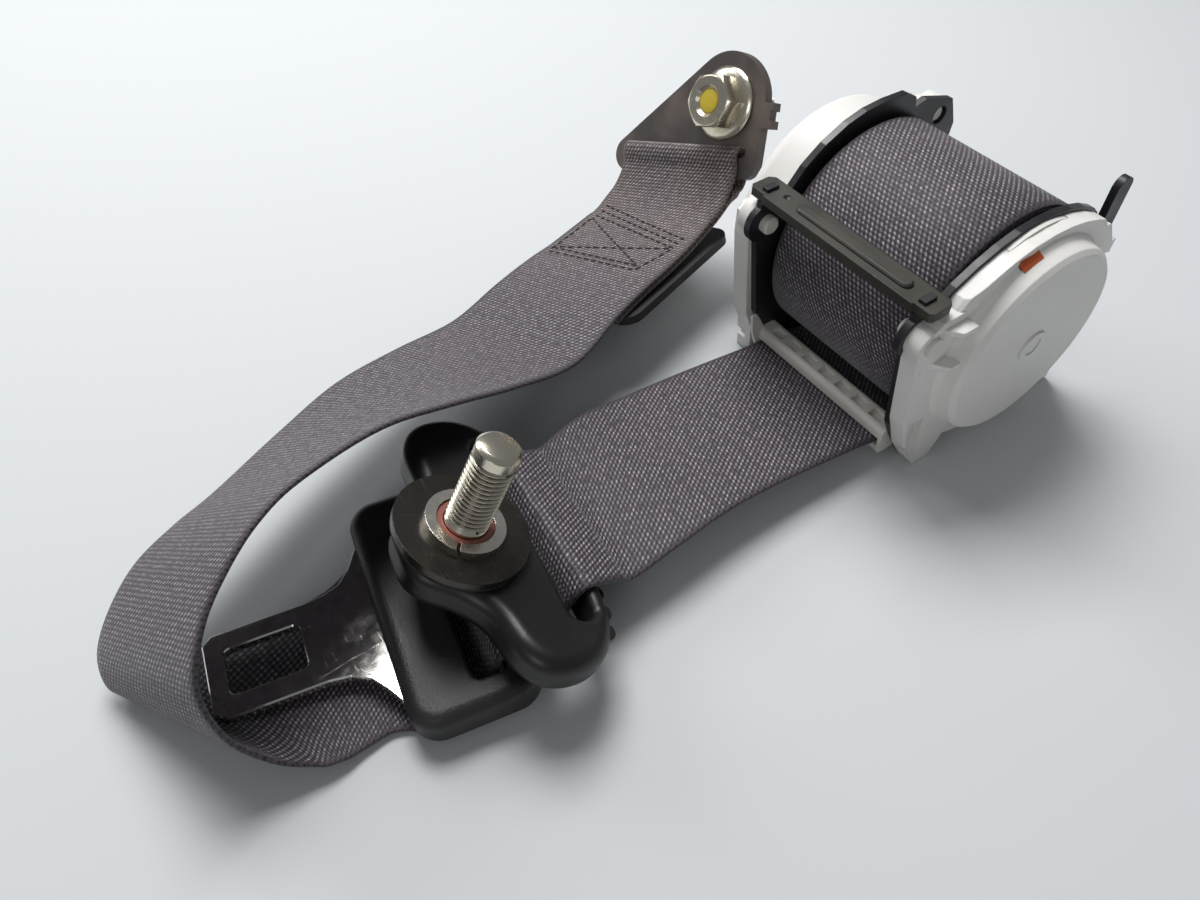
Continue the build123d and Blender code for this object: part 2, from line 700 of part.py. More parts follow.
def smooth(points, count):
    """Points on a smooth curve through the given ones."""
    result = []
    n = len(points)
    for k in range(n - 1):
        p = [points[max(k - 1, 0)], points[k], points[k + 1], points[min(k + 2, n - 1)]]
        for j in range(count):
            t = j / count
            q = []
            for a, b, c, d in zip(*p):
                q.append(0.5 * (2 * b + (c - a) * t + (2 * a - 5 * b + 4 * c - d) * t * t
                                + (3 * b - a - 3 * c + d) * t * t * t))
            result.append(tuple(q))
    result.append(tuple(points[-1]))
    return result


def ribbon(stations, count=3):
    """Webbing lofted through stations (x, y, z, wx, wy, wz)."""
    run = smooth(stations, count)
    faces = []
    half, thin = webbing_width / 2, webbing_thick / 2
    for k, s in enumerate(run):
        a, b = run[max(k - 1, 0)], run[min(k + 1, len(run) - 1)]
        along = Vector(b[0] - a[0], b[1] - a[1], b[2] - a[2]).normalized()
        wide = Vector(*s[3:]).normalized()
        reach = half / along.cross(wide).length
        up = along.cross(wide).normalized()
        c = Vector(*s[:3])
        corners = [c + wide * (i * reach) + up * (j * thin)
                   for i, j in ((-1, -1), (1, -1), (1, 1), (-1, 1))]
        faces.append(Wire(Polyline(*corners, close=True).edges()))
    return Part() + Solid.make_loft(faces, ruled=True)


def at_ring(v, w, u=ring_shift):
    """Station at local (u, v, w) of the ring, its width along the slot."""
    plane = ring_plane()
    p = plane.from_local_coords((u, v, w))
    return (p.X, p.Y, p.Z, -plane.x_dir.X, -plane.x_dir.Y, -plane.x_dir.Z)


def at_tongue(y, z, x=0.0):
    """Station at local (x, y, z) of the tongue."""
    a = radians(tongue_turn)
    x0, y0, z0 = tongue_at
    return (x0 + x * cos(a) - y * sin(a), y0 + x * sin(a) + y * cos(a), z0 + z,
            -cos(a), -sin(a), 0.0)


def at_anchor(y, z):
    """Station at local (0, y, z) of the anchor plate."""
    plane = anchor_plane()
    p = plane.from_local_coords((0, y, z))
    return (p.X, p.Y, p.Z, -plane.x_dir.X, -plane.x_dir.Y, -plane.x_dir.Z)


def webbing_shoulder():
    """Webbing from the roll through the guide and over the ring's bar."""
    run = [(0, y, z, -1, 0, 0) for y, z in
           ((6, 3.1), (0, 3.1), (-8, 3.2), (-16, 4.7), (-22, 6.3), (-27, 6.75), (-31, 7.0))]
    run += [(0, -37, 7.8, -1, 0, -0.02), (0.4, -50, 9.2, -1, 0, -0.05),
            (1.0, -66, 10.6, -1, 0.01, -0.07), (1.4, -82, 12, -1, 0.02, -0.04),
            (1.8, -95, 13.4, -1, 0.04, 0.0)]
    run += [at_ring(v, w) for v, w in ((36, 4.8), (31.5, 5.85), (27, 6.0), (23.4, 5.9), (21.8, 5.1),
                                       (21.0, 3.4), (20.7, 2), (20.7, 1), (20.7, 0))]
    return ribbon(run)


def webbing_middle():
    """Webbing from the ring's slot, over the handle's bar and under it."""
    run = [at_ring(20.7, 0), at_ring(20.7, -1), at_ring(20.7, -2), at_ring(20.5, -4)]
    run += [at_tongue(y, z) for y, z in ((24.0, 12.2), (20.5, 12.3), (17.5, 12.5), (15, 12.4),
                                         (13.3, 11.9), (12.5, 10.6),
                                         (11.6, 7.6), (10.6, 5.0), (9.3, 3.0), (8.0, 1.7),
                                         (6.2, 1.05), (3, 1.0), (-1, 1.0), (-3, 1.0), (-4, 1.0))]
    return ribbon(run)


lap_turn = [(-1.3, -165, 1.1, -.985, .15, 0), (-1.0, -173, 1.3, -.99, .05, -.01),
            (-1.2, -182, 1.6, -.99, -.08, -.03), (-1.7, -190.5, 2.2, -.95, -.25, -.06),
            (-2.2, -199, 2.9, -.89, -.40, -.10), (-3.2, -206.5, 6, -.85, -.45, -.22),
            (-5.2, -210.3, 13, -.81, -.42, -.39), (-10, -209.5, 22, -.78, -.38, -.50),
            (-15.5, -203.5, 29, -.75, -.37, -.55), (-21, -195, 33.5, -.74, -.36, -.57),
            (-26, -185, 35.5, -.72, -.34, -.61)]
lap_rise = [(-31, -174, 35, -.71, -.34, -.62), (-39, -154, 33, -.77, -.35, -.54),
            (-45, -135, 29, -.86, -.35, -.38), (-50, -116, 23, -.91, -.32, -.27),
            (-54.5, -96, 18, -.93, -.30, -.21)]
lap_sewn = [(-62, -77, 18.5, -.93, -.29, -.24), (-66, -64, 19.3, -.93, -.28, -.26),
            (-69, -53, 19.6, -.93, -.26, -.28), (-72.5, -42, 20, -.93, -.24, -.30),
            (-75.3, -32.5, 21.6, -.93, -.22, -.33), (-76.6, -25.5, 26, -.925, -.21, -.34)]


def under(stations):
    """The same stations, one layer lower, in reverse order."""
    result = []
    drop = webbing_thick + soft_gap
    for k, s in enumerate(stations):
        a, b = stations[max(k - 1, 0)], stations[min(k + 1, len(stations) - 1)]
        along = Vector(b[0] - a[0], b[1] - a[1], b[2] - a[2]).normalized()
        up = along.cross(Vector(*s[3:])).normalized()
        p = Vector(*s[:3]) - up * drop
        result.append((p.X, p.Y, p.Z) + tuple(s[3:]))
    return result[::-1]


def webbing_lap():
    """Webbing from the tongue to the anchor, round its bar and sewn back."""
    run = [at_tongue(-4, 1.0), at_tongue(-5, 1.0), at_tongue(-6, 1.0)]
    run += lap_turn + lap_rise + lap_sewn
    run += [at_anchor(y, z) for y, z in ((-2, 2.4), (2.0, 2.4), (4.0, 1.5), (4.6, 0), (4.0, -1.5),
                                         (2.0, -2.5), (-2, -2.6), (-5.3, -1.6), (-7.2, 0.6))]
    return ribbon(run + under(lap_sewn))


# Pieces in their places

def in_ring(shape):
    """Shape moved from the ring's own axes into place."""
    return ring_plane().location * shape


PARTS = {
    "frame": frame(),
    "tie_bar": tie_bar(),
    "spool": spool(),
    "torsion_bar": torsion_bar(),
    "webbing_roll": webbing_roll(),
    "ratchet_wheel": ratchet_wheel(),
    "lock_disc": lock_disc(),
    "lock_pawl": lock_pawl(),
    "pawl_pin": pawl_pin(),
    "sensor_housing": sensor_housing(),
    "sensor_ball": sensor_ball(),
    "sensor_lever": sensor_lever(),
    "lock_cover": lock_cover(),
    "spring_plate": spring_plate(),
    "spring_cover": spring_cover(),
    "spiral_spring": spiral_spring(),
    "spring_arbor": spring_arbor(),
    "webbing_guide": webbing_guide(),
    "snap_pegs": snap_pegs(),
    "spool_bushes": spool_bushes(),
    "ring_body": in_ring(ring_body()),
    "ring_plate": in_ring(ring_plate()),
    "ring_bush": in_ring(ring_bush()),
    "pillar_bolt": in_ring(pillar_bolt()),
    "damping_washer": in_ring(washer(15.2, 7.0, 5.05, 6.0)),
    "large_washer": in_ring(washer(15.4, 5.3, 6.0, 7.8)),
    "spring_washer": in_ring(spring_washer()),
    "retaining_ring": in_ring(washer(6.45, bolt_radius + run_gap, 7.8, 9.5)),
    "tongue_plate": tongue_place() * tongue_plate(),
    "tongue_handle": tongue_place() * tongue_handle(),
    "anchor_plate": anchor_plane().location * anchor_plate(),
    "anchor_bolt": anchor_plane().location * anchor_bolt(),
    "anchor_retainer": anchor_plane().location * anchor_retainer(),
    "anchor_base": base_plane().location * anchor_base(),
    "webbing_shoulder": webbing_shoulder(),
    "webbing_middle": webbing_middle(),
    "webbing_lap": webbing_lap(),
}

os.makedirs("parts", exist_ok=True)
for name, shape in PARTS.items():
    export_step(shape, "parts/" + name + ".step")
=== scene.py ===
"""Lap and shoulder seat belt with its locking retractor, guide ring, tongue and floor anchor."""

import logging
import math
from dataclasses import dataclass, field
from enum import Enum
from typing import Protocol

import bmesh
import bpy
from mathutils import Matrix, Vector


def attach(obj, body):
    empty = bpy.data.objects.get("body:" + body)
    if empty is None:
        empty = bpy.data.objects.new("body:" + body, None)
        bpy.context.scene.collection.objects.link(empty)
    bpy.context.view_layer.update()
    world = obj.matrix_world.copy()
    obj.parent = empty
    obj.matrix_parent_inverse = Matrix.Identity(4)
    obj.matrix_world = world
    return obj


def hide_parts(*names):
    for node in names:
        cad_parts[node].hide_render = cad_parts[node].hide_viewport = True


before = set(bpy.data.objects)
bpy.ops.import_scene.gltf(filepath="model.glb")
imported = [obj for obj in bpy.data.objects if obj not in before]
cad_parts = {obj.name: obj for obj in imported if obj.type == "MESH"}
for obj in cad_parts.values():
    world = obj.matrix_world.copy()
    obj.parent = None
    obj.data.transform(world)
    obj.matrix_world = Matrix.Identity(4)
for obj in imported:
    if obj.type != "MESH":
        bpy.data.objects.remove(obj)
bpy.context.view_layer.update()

logging.basicConfig(level=logging.INFO, format="%(message)s")
LOG = logging.getLogger("seat_belt")

MM = 0.001
TURN = 2 * math.pi
GROOVE = "painted_root_shade"          # mesh attribute that tells a thread's root from its crest, for the painted shade in the roots
UV_MAP = "UVMap"
WEBBING_WIDTH = 47.0


class Body(Enum):
    """Rigid bodies that a piece may ride on."""

    BELT = "belt"
    SPOOL = "spool"
    PILLAR_BOLT = "pillar_bolt"
    ANCHOR_BOLT = "anchor_bolt"


class Rest(Enum):
    """How a run of webbing is held."""

    STRETCHED = "stretched"
    LAID = "laid"
    FOLDED = "folded"


# Colour and node helpers


def linear(code: str) -> tuple[float, float, float, float]:
    """Turn an sRGB hex colour into linear values.

    Args:
        code: Six hex digits, such as "6c6269".

    Returns:
        Red, green, blue and alpha.
    """
    parts = [int(code[k:k + 2], 16) / 255 for k in (0, 2, 4)]
    lin = [p / 12.92 if p <= 0.04045 else ((p + 0.055) / 1.055) ** 2.4 for p in parts]
    return (lin[0], lin[1], lin[2], 1.0)


def add_node(tree: bpy.types.NodeTree, kind: str, links: dict | None = None,
             **settings: object) -> bpy.types.Node:
    """Add a shader node with its settings and links.

    Args:
        tree: Node tree to add to.
        kind: Node type without the ShaderNode prefix.
        links: Input name or number to a socket to link or a value to set.
        **settings: Properties of the node.

    Returns:
        The new node.
    """
    node = tree.nodes.new("ShaderNode" + kind)
    for name, value in settings.items():
        setattr(node, name, value)
    for key, value in (links or {}).items():
        if isinstance(value, bpy.types.NodeSocket):
            tree.links.new(value, node.inputs[key])
        else:
            node.inputs[key].default_value = value
    return node


def open_material(name: str) -> tuple[bpy.types.Material, bpy.types.NodeTree, bpy.types.Node]:
    """Make an empty node material.

    Args:
        name: Name of the material.

    Returns:
        The material, its tree and its Principled shader.
    """
    mat = bpy.data.materials.new(name)
    mat.use_nodes = True
    tree = mat.node_tree
    tree.nodes.clear()
    shader = add_node(tree, "BsdfPrincipled")
    out = add_node(tree, "OutputMaterial")
    tree.links.new(shader.outputs["BSDF"], out.inputs["Surface"])
    return mat, tree, shader


def math_node(tree: bpy.types.NodeTree, operation: str, a: object, b: object = 0.0,
              clamp: bool = False) -> bpy.types.NodeSocket:
    """Result of one arithmetic step on two sockets or numbers."""
    return add_node(tree, "Math", {0: a, 1: b}, operation=operation, use_clamp=clamp).outputs[0]


def noise(tree: bpy.types.NodeTree, place: bpy.types.NodeSocket, scale: float,
          detail: float = 2.0, roughness: float = 0.5) -> bpy.types.NodeSocket:
    """Value of a noise texture at a place."""
    return add_node(tree, "TexNoise", {"Vector": place, "Scale": scale, "Detail": detail,
                                       "Roughness": roughness}).outputs[0]


def ramp(tree: bpy.types.NodeTree, value: bpy.types.NodeSocket, low: float, high: float,
         start: float = 0.0, end: float = 1.0) -> bpy.types.NodeSocket:
    """Value moved from between low and high to between start and end."""
    return add_node(tree, "MapRange", {0: value, 1: low, 2: high, 3: start, 4: end}).outputs[0]


def mix(tree: bpy.types.NodeTree, share: bpy.types.NodeSocket, first: object,
        second: str) -> bpy.types.NodeSocket:
    """Colour between a first one, as a socket or a hex code, and a second hex code."""
    base = linear(first) if isinstance(first, str) else first
    return add_node(tree, "Mix", {0: share, 6: base, 7: linear(second)},
                    data_type="RGBA").outputs[2]


def emboss(tree: bpy.types.NodeTree, shader: bpy.types.Node, height: bpy.types.NodeSocket,
           strength: float, depth: float, edge: float = 0.0) -> None:
    """Raise the surface by a height, in metres, over softened edges where an edge is given."""
    links = {"Strength": strength, "Distance": depth, "Height": height}
    if edge:
        links["Normal"] = add_node(tree, "Bevel", {"Radius": edge}, samples=4).outputs[0]
    add_link(tree, add_node(tree, "Bump", links).outputs[0], shader, "Normal")


def add_link(tree: bpy.types.NodeTree, value: bpy.types.NodeSocket, shader: bpy.types.Node,
             name: str) -> None:
    """Feed a value into one input of the shader."""
    tree.links.new(value, shader.inputs[name])


def object_place(tree: bpy.types.NodeTree) -> bpy.types.NodeSocket:
    """Object coordinates of the shaded point."""
    return add_node(tree, "TexCoord").outputs["Object"]


# Finishes


class Finish(Protocol):
    """A surface that can be made into a material."""

    name: str

    def build(self) -> bpy.types.Material:
        """Make the material."""


@dataclass(frozen=True)
class WovenPolyester:
    """High-tenacity polyester webbing, woven in a close twill.

    The light that the warp floats catch is painted as fine pale specks in rows, and the shade
    between them as dark pits.
    """

    name: str
    ground: str
    # colours of the painted shade in the pits between floats and of the painted highlight on the
    # floats
    painted_pit_shade: str
    painted_glint: str
    soil: str
    soil_from: float           # length along the run where soiling begins, in metres
    soil_to: float             # length where it is full
    across_mm: float = 1.4     # spacing of the floats over the width
    along_mm: float = 1.1      # spacing of the rows along the webbing
    filament_mm: float = 0.42  # yarns, drawn about twice as coarse as real ones so that they show
    slack_mm: float = 0.62     # how far single floats wander
    glint: float = 1.25        # strength of the painted highlight on the brightest floats
    selvedge_mm: tuple[float, float] = (1.0, 1.8)   # plain edge, fading into the floats

    def build(self) -> bpy.types.Material:
        """Make the material; it reads the piece's UV map, in metres."""
        mat, tree, shader = open_material(self.name)
        uv = add_node(tree, "UVMap", uv_map=UV_MAP).outputs[0]
        axes = add_node(tree, "SeparateXYZ", {0: uv})
        slack = noise(tree, uv, 330.0)
        shift = math_node(tree, "MULTIPLY", math_node(tree, "SUBTRACT", slack, 0.5),
                          self.slack_mm * MM)
        u = math_node(tree, "ADD", axes.outputs[0], shift)
        v = math_node(tree, "SUBTRACT", axes.outputs[1], shift)
        a = math_node(tree, "MULTIPLY", u, TURN / (self.across_mm * MM))
        b = math_node(tree, "MULTIPLY", v, TURN / (self.along_mm * MM))
        rib = self.wave(tree, math_node(tree, "ADD", a, math_node(tree, "MULTIPLY", b, 0.5)))
        row = self.wave(tree, b)
        filament = self.wave(tree, math_node(tree, "MULTIPLY", u, TURN / (self.filament_mm * MM)))
        patch = noise(tree, uv, 55.0, 3.0)
        broken = ramp(tree, noise(tree, uv, 520.0, 3.0, 0.7), 0.38, 0.64, 0.1, self.glint)
        dash = math_node(tree, "MULTIPLY", math_node(tree, "POWER", rib, 2.6),
                         math_node(tree, "POWER", row, 1.1))
        plain, floats = (edge * MM for edge in self.selvedge_mm)
        far = WEBBING_WIDTH * MM
        within = math_node(tree, "MULTIPLY", ramp(tree, axes.outputs[0], plain, floats),
                           ramp(tree, axes.outputs[0], far - floats, far - plain, 1.0, 0.0))
        dash = math_node(tree, "MULTIPLY", dash, within)
        # painted highlight where the floats catch the light, broken up at random
        glint_share = math_node(tree, "MULTIPLY", dash, broken, True)
        # painted shade in the pits between the floats
        pit_shade_share = math_node(tree, "MULTIPLY", math_node(tree, "SUBTRACT", 1.0, rib),
                         math_node(tree, "SUBTRACT", 1.0, row))
        pit_shade_share = math_node(tree, "MULTIPLY", pit_shade_share, 1.45, True)
        worn = math_node(tree, "MULTIPLY", ramp(tree, v, self.soil_from, self.soil_to), patch)
        cloth = mix(tree, worn, mix(tree, patch, self.ground, self.shade()), self.soil)
        cloth = mix(tree, glint_share, mix(tree, pit_shade_share, cloth, self.painted_pit_shade), self.painted_glint)
        add_link(tree, cloth, shader, "Base Color")
        height = math_node(tree, "ADD", math_node(tree, "MULTIPLY", dash, 0.8),
                           math_node(tree, "MULTIPLY", filament, 0.14))
        emboss(tree, shader, height, 0.6, 0.4 * MM)
        shader.inputs["Roughness"].default_value = 0.62
        shader.inputs["Sheen Weight"].default_value = 0.22
        shader.inputs["Sheen Roughness"].default_value = 0.45
        shader.inputs["Specular IOR Level"].default_value = 0.42
        return mat

    @staticmethod
    def wave(tree: bpy.types.NodeTree, angle: bpy.types.NodeSocket) -> bpy.types.NodeSocket:
        """Sine of an angle, moved to between 0 and 1."""
        step = math_node(tree, "MULTIPLY_ADD", math_node(tree, "SINE", angle), 0.5)
        step.node.inputs[2].default_value = 0.5
        return step

    def shade(self) -> str:
        """Ground colour taken down by an eighth, for slow patches."""
        return "".join(f"{int(int(self.ground[k:k + 2], 16) * 0.87):02x}" for k in (0, 2, 4))


@dataclass(frozen=True)
class MouldedPlastic:
    """Injection-moulded plastic: even colour, fine spark-eroded grain, soft highlight."""

    name: str
    colour: str
    shade: str
    roughness: float = 0.5
    grain_mm: float = 0.5
    grain_depth: float = 0.02
    milky: float = 0.0         # share of light that enters the wall, as in unpainted polypropylene
    edge_mm: float = 0.25

    def build(self) -> bpy.types.Material:
        """Make the material on Object coordinates."""
        mat, tree, shader = open_material(self.name)
        place = object_place(tree)
        slow = noise(tree, place, 45.0, 3.0)
        add_link(tree, mix(tree, slow, self.colour, self.shade), shader, "Base Color")
        gloss = ramp(tree, slow, 0.3, 0.7, self.roughness - 0.06, self.roughness + 0.08)
        add_link(tree, gloss, shader, "Roughness")
        grain = noise(tree, place, 1.0 / (self.grain_mm * MM), 2.0, 0.55)
        emboss(tree, shader, grain, 0.4, self.grain_depth * MM, self.edge_mm * MM)
        shader.inputs["IOR"].default_value = 1.49
        if self.milky:
            shader.inputs["Subsurface Weight"].default_value = self.milky
            shader.inputs["Subsurface Radius"].default_value = (0.0022, 0.002, 0.0019)
        return mat


@dataclass(frozen=True)
class Hairlines:
    """Fine scratches that run one way."""

    turn: float
    stretch: tuple[float, float, float]
    scale: float
    detail: float
    roughness: float
    cut: tuple[float, float]   # noise values between which a scratch fades in

    def draw(self, tree: bpy.types.NodeTree,
             place: bpy.types.NodeSocket) -> bpy.types.NodeSocket:
        """Depth of the scratches, between 0 and 1."""
        drawn = add_node(tree, "Mapping", {0: place, 2: (0.0, 0.0, self.turn), 3: self.stretch})
        return ramp(tree, noise(tree, drawn.outputs[0], self.scale, self.detail, self.roughness),
                    *self.cut)


HAIRLINES = (Hairlines(0.9, (1.0, 14.0, 3.0), 95.0, 6.0, 0.72, (0.60, 0.72)),
             Hairlines(-0.5, (16.0, 1.0, 3.0), 60.0, 5.0, 0.7, (0.63, 0.74)))


@dataclass(frozen=True)
class PlatedSteel:
    """Steel with a bright plated face: rolled or turned marks, hairline scratches, dull spots and
    painted shade in the roots of threads.
    """

    name: str
    colour: str
    dull: str
    roughness: float = 0.2
    scratch: float = 0.3
    mark_mm: float = 0.12
    metallic: float = 1.0
    edge_mm: float = 0.2
    stained: float = 0.75      # share of the dull colour in the worn spots
    painted_root_shade: str = "2b2721"     # colour of the painted shade in the roots where the mesh marks a thread

    def build(self) -> bpy.types.Material:
        """Make the material on Object coordinates."""
        mat, tree, shader = open_material(self.name)
        place = object_place(tree)
        worn = ramp(tree, noise(tree, place, 130.0, 4.0, 0.65), 0.48, 0.72)
        marks = math_node(tree, "MAXIMUM", *(lines.draw(tree, place) for lines in HAIRLINES))
        marks = math_node(tree, "MULTIPLY", marks, self.scratch)
        stain = math_node(tree, "MULTIPLY", worn, self.stained)
        # a thread's roots get painted shade, by the depth that the mesh marks
        root = add_node(tree, "Attribute", attribute_name=GROOVE).outputs["Fac"]
        tint = mix(tree, root, mix(tree, stain, self.colour, self.dull), self.painted_root_shade)
        add_link(tree, tint, shader, "Base Color")
        rough = math_node(tree, "ADD", math_node(tree, "MULTIPLY", marks, 0.5),
                          math_node(tree, "MULTIPLY", worn, 0.14))
        add_link(tree, math_node(tree, "ADD", rough, self.roughness, True), shader, "Roughness")
        shader.inputs["Metallic"].default_value = self.metallic
        emboss(tree, shader, marks, 0.35, self.mark_mm * 0.1 * MM, self.edge_mm * MM)
        return mat


@dataclass(frozen=True)
class CoatedSteel:
    """Pressed steel under a thin dark electro-coat: low sheen, dusty patches, small chips."""

    name: str
    colour: str
    dust: str
    roughness: float = 0.42
    dusty: float = 0.5
    chip: str = "5c5a55"
    orange_peel_mm: float = 1.1
    edge_mm: float = 0.35

    def build(self) -> bpy.types.Material:
        """Make the material on Object coordinates."""
        mat, tree, shader = open_material(self.name)
        place = object_place(tree)
        slow = noise(tree, place, 70.0, 4.0)
        chips = ramp(tree, noise(tree, place, 420.0, 3.0, 0.7), 0.69, 0.72)
        dust = ramp(tree, slow, 0.42, 0.75, 0.0, self.dusty)
        tint = mix(tree, chips, mix(tree, dust, self.colour, self.dust), self.chip)
        add_link(tree, tint, shader, "Base Color")
        gloss = ramp(tree, slow, 0.3, 0.7, self.roughness - 0.07, self.roughness + 0.14)
        add_link(tree, gloss, shader, "Roughness")
        peel = noise(tree, place, 1 / (self.orange_peel_mm * MM))
        emboss(tree, shader, peel, 0.3, 0.04 * MM, self.edge_mm * MM)
        shader.inputs["IOR"].default_value = 1.5
        return mat


@dataclass(frozen=True)
class SewingThread:
    """Bonded thread: matt and darker than the webbing."""

    name: str
    colour: str
    shade: str

    def build(self) -> bpy.types.Material:
        """Make the material on Object coordinates."""
        mat, tree, shader = open_material(self.name)
        fuzz = noise(tree, object_place(tree), 2600.0)
        add_link(tree, mix(tree, fuzz, self.colour, self.shade), shader, "Base Color")
        emboss(tree, shader, fuzz, 0.5, 0.1 * MM)
        shader.inputs["Roughness"].default_value = 0.7
        return mat


def webbing_finish(name: str, soil_from: float = 10.0, soil_to: float = 11.0) -> WovenPolyester:
    """Finish of the dark mauve grey webbing, soiled between two lengths, or clean."""
    # its second and third colours are painted pit shade and painted highlight on the floats
    return WovenPolyester(name, "4b434b", "151116", "c2b8c2", "6a5b4e", soil_from, soil_to)


WHITE = MouldedPlastic("natural_polypropylene", "e4e3e0", "d8d6d1", 0.44, 0.9, 0.03, 0.30, 0.5)
NYLON = MouldedPlastic("natural_nylon", "dfddd6", "cfccc4", 0.42, 0.7, 0.02, 0.25, 0.3)
GRAINED = MouldedPlastic("grained_black_nylon", "1b1a1b", "232122", 0.45, 0.6, 0.3)
SMOOTH = MouldedPlastic("smooth_black_polyamide", "131112", "1a1818", 0.36, 1.6, 0.05)
DARK = MouldedPlastic("matt_black_plastic", "1b1a1b", "262425", 0.58, 0.6, 0.05)
ORANGE = MouldedPlastic("orange_acetal", "c9622f", "b2502a", 0.35)
PINK = MouldedPlastic("rose_polyurethane", "a4685c", "7f4a40", 0.3)
YELLOW = MouldedPlastic("yellow_paint", "d8c23a", "b59a2a", 0.4)
RUBBER = MouldedPlastic("rubber_coat", "1d1b1a", "2a2624", 0.85, 0.35, 0.25)
BLACK_STEEL = CoatedSteel("black_coated_steel", "17171a", "24252a", 0.36)
BAR_STEEL = CoatedSteel("olive_black_steel", "27261f", "3a382f", 0.4, 0.7)
PLATE_STEEL = CoatedSteel("dusty_black_steel", "453f3d", "6b5f58", 0.48, 0.9)
DARK_ZINC = PlatedSteel("dark_passivated_zinc", "4a4743", "262420", 0.24, 0.45, metallic=0.85)
ROLLED = PlatedSteel("rolled_zinc", "dcd5c4", "c4b797", 0.21, 0.05, 0.02, edge_mm=0.03,
                     stained=0.5)
ZINC = PlatedSteel("bright_zinc", "d9d5cb", "bdb4a4", 0.24, 0.18, stained=0.35)
CHROME = PlatedSteel("chromed_steel", "dedcd8", "bbb5ab", 0.11, 0.4, stained=0.4)
STEEL = PlatedSteel("turned_steel", "a9a7a3", "807c76", 0.32)
THREAD = SewingThread("bonded_thread", "2c2420", "1c1715")
CLEAN_CLOTH = webbing_finish("woven_polyester")
SOILED_CLOTH = webbing_finish("woven_polyester_soiled", 0.215, 0.262)


# Mesh helpers


def clear_selection() -> None:
    """Leave edit mode and deselect every object."""
    if bpy.context.object and bpy.context.object.mode != "OBJECT":
        bpy.ops.object.mode_set(mode="OBJECT")
    bpy.ops.object.select_all(action="DESELECT")


def activate(piece: bpy.types.Object) -> None:
    """Select one object alone and make it active."""
    clear_selection()
    piece.select_set(True)
    bpy.context.view_layer.objects.active = piece


def apply_modifiers(piece: bpy.types.Object) -> None:
    """Apply every modifier of a piece in order."""
    activate(piece)
    for name in [m.name for m in piece.modifiers]:
        bpy.ops.object.modifier_apply(modifier=name)


def settle(piece: bpy.types.Object, angle: float = 35.0) -> bpy.types.Object:
    """Apply the piece's place to its mesh and smooth its curved faces.

    Args:
        piece: Object to finish.
        angle: Largest angle in degrees between faces that shade as one.

    Returns:
        The same object.
    """
    apply_modifiers(piece)
    bpy.ops.object.transform_apply(location=True, rotation=True, scale=True)
    bpy.ops.object.shade_smooth_by_angle(angle=math.radians(angle))
    return piece


def raw_object(name: str, verts: list, faces: list, edges: list | None = None) -> bpy.types.Object:
    """Object from lists of points and faces, in metres."""
    mesh = bpy.data.meshes.new(name)
    mesh.from_pydata([tuple(v) for v in verts], edges or [], faces)
    piece = bpy.data.objects.new(name, mesh)
    bpy.context.scene.collection.objects.link(piece)
    return piece


def join(name: str, parts: list[bpy.types.Object]) -> bpy.types.Object:
    """Join several objects into one named piece."""
    clear_selection()
    for part in parts:
        part.select_set(True)
    bpy.context.view_layer.objects.active = parts[0]
    if len(parts) > 1:
        bpy.ops.object.join()
    parts[0].name = name
    return parts[0]


def recalculate(piece: bpy.types.Object, merge_mm: float = 0.001) -> None:
    """Merge doubled points and turn the faces outwards."""
    activate(piece)
    bpy.ops.object.mode_set(mode="EDIT")
    bpy.ops.mesh.select_all(action="SELECT")
    bpy.ops.mesh.remove_doubles(threshold=merge_mm * MM)
    bpy.ops.mesh.normals_make_consistent(inside=False)
    bpy.ops.object.mode_set(mode="OBJECT")


def turned(name: str, profile: list[tuple[float, float]], steps: int = 72,
           pitch: float = 0.0, turns: int = 1) -> bpy.types.Object:
    """Body of revolution or helix about Z.

    Args:
        name: Name of the piece.
        profile: Points (radius, height) in millimetres.
        steps: Facets in one turn.
        pitch: Rise in millimetres for each turn; 0 closes the body.
        turns: Number of turns of a helix.

    Returns:
        The new object.
    """
    verts = [(r * MM, 0.0, z * MM) for r, z in profile]
    edges = [(k, k + 1) for k in range(len(profile) - 1)]
    piece = raw_object(name, verts, [], edges)
    screw = piece.modifiers.new("Turn", "SCREW")
    screw.steps = screw.render_steps = steps
    screw.angle = TURN
    screw.axis = "Z"
    screw.iterations = turns
    screw.screw_offset = pitch * MM
    screw.use_merge_vertices = True
    screw.merge_threshold = 1e-6
    apply_modifiers(piece)
    recalculate(piece)
    return piece


def carve(piece: bpy.types.Object, tool: bpy.types.Object, operation: str) -> None:
    """Cut a piece by a tool body, which is used up."""
    trim = piece.modifiers.new("Carve", "BOOLEAN")
    trim.operation = operation
    trim.solver = "EXACT"
    trim.object = tool
    apply_modifiers(piece)
    bpy.data.objects.remove(tool, do_unlink=True)


def soften(piece: bpy.types.Object, width_mm: float) -> None:
    """Put a small bevel on the edges of a piece."""
    edge = piece.modifiers.new("Edge", "BEVEL")
    edge.width = width_mm * MM
    edge.segments = 2
    edge.limit_method = "ANGLE"
    edge.angle_limit = math.radians(28)


def mark_grooves(piece: bpy.types.Object, crest: float, root: float) -> None:
    """Mark how deep each point of a thread about Z lies, for its finish to paint shade into the
    roots.

    Args:
        piece: Thread in its local axes.
        crest: Outer radius in millimetres.
        root: Radius at the bottom in millimetres.
    """
    depth = piece.data.attributes.new(GROOVE, "FLOAT", "POINT")
    for k, vert in enumerate(piece.data.vertices):
        radius = math.hypot(vert.co.x, vert.co.y) / MM
        depth.data[k].value = min(1.0, max(0.0, (crest - radius) / (crest - root)))


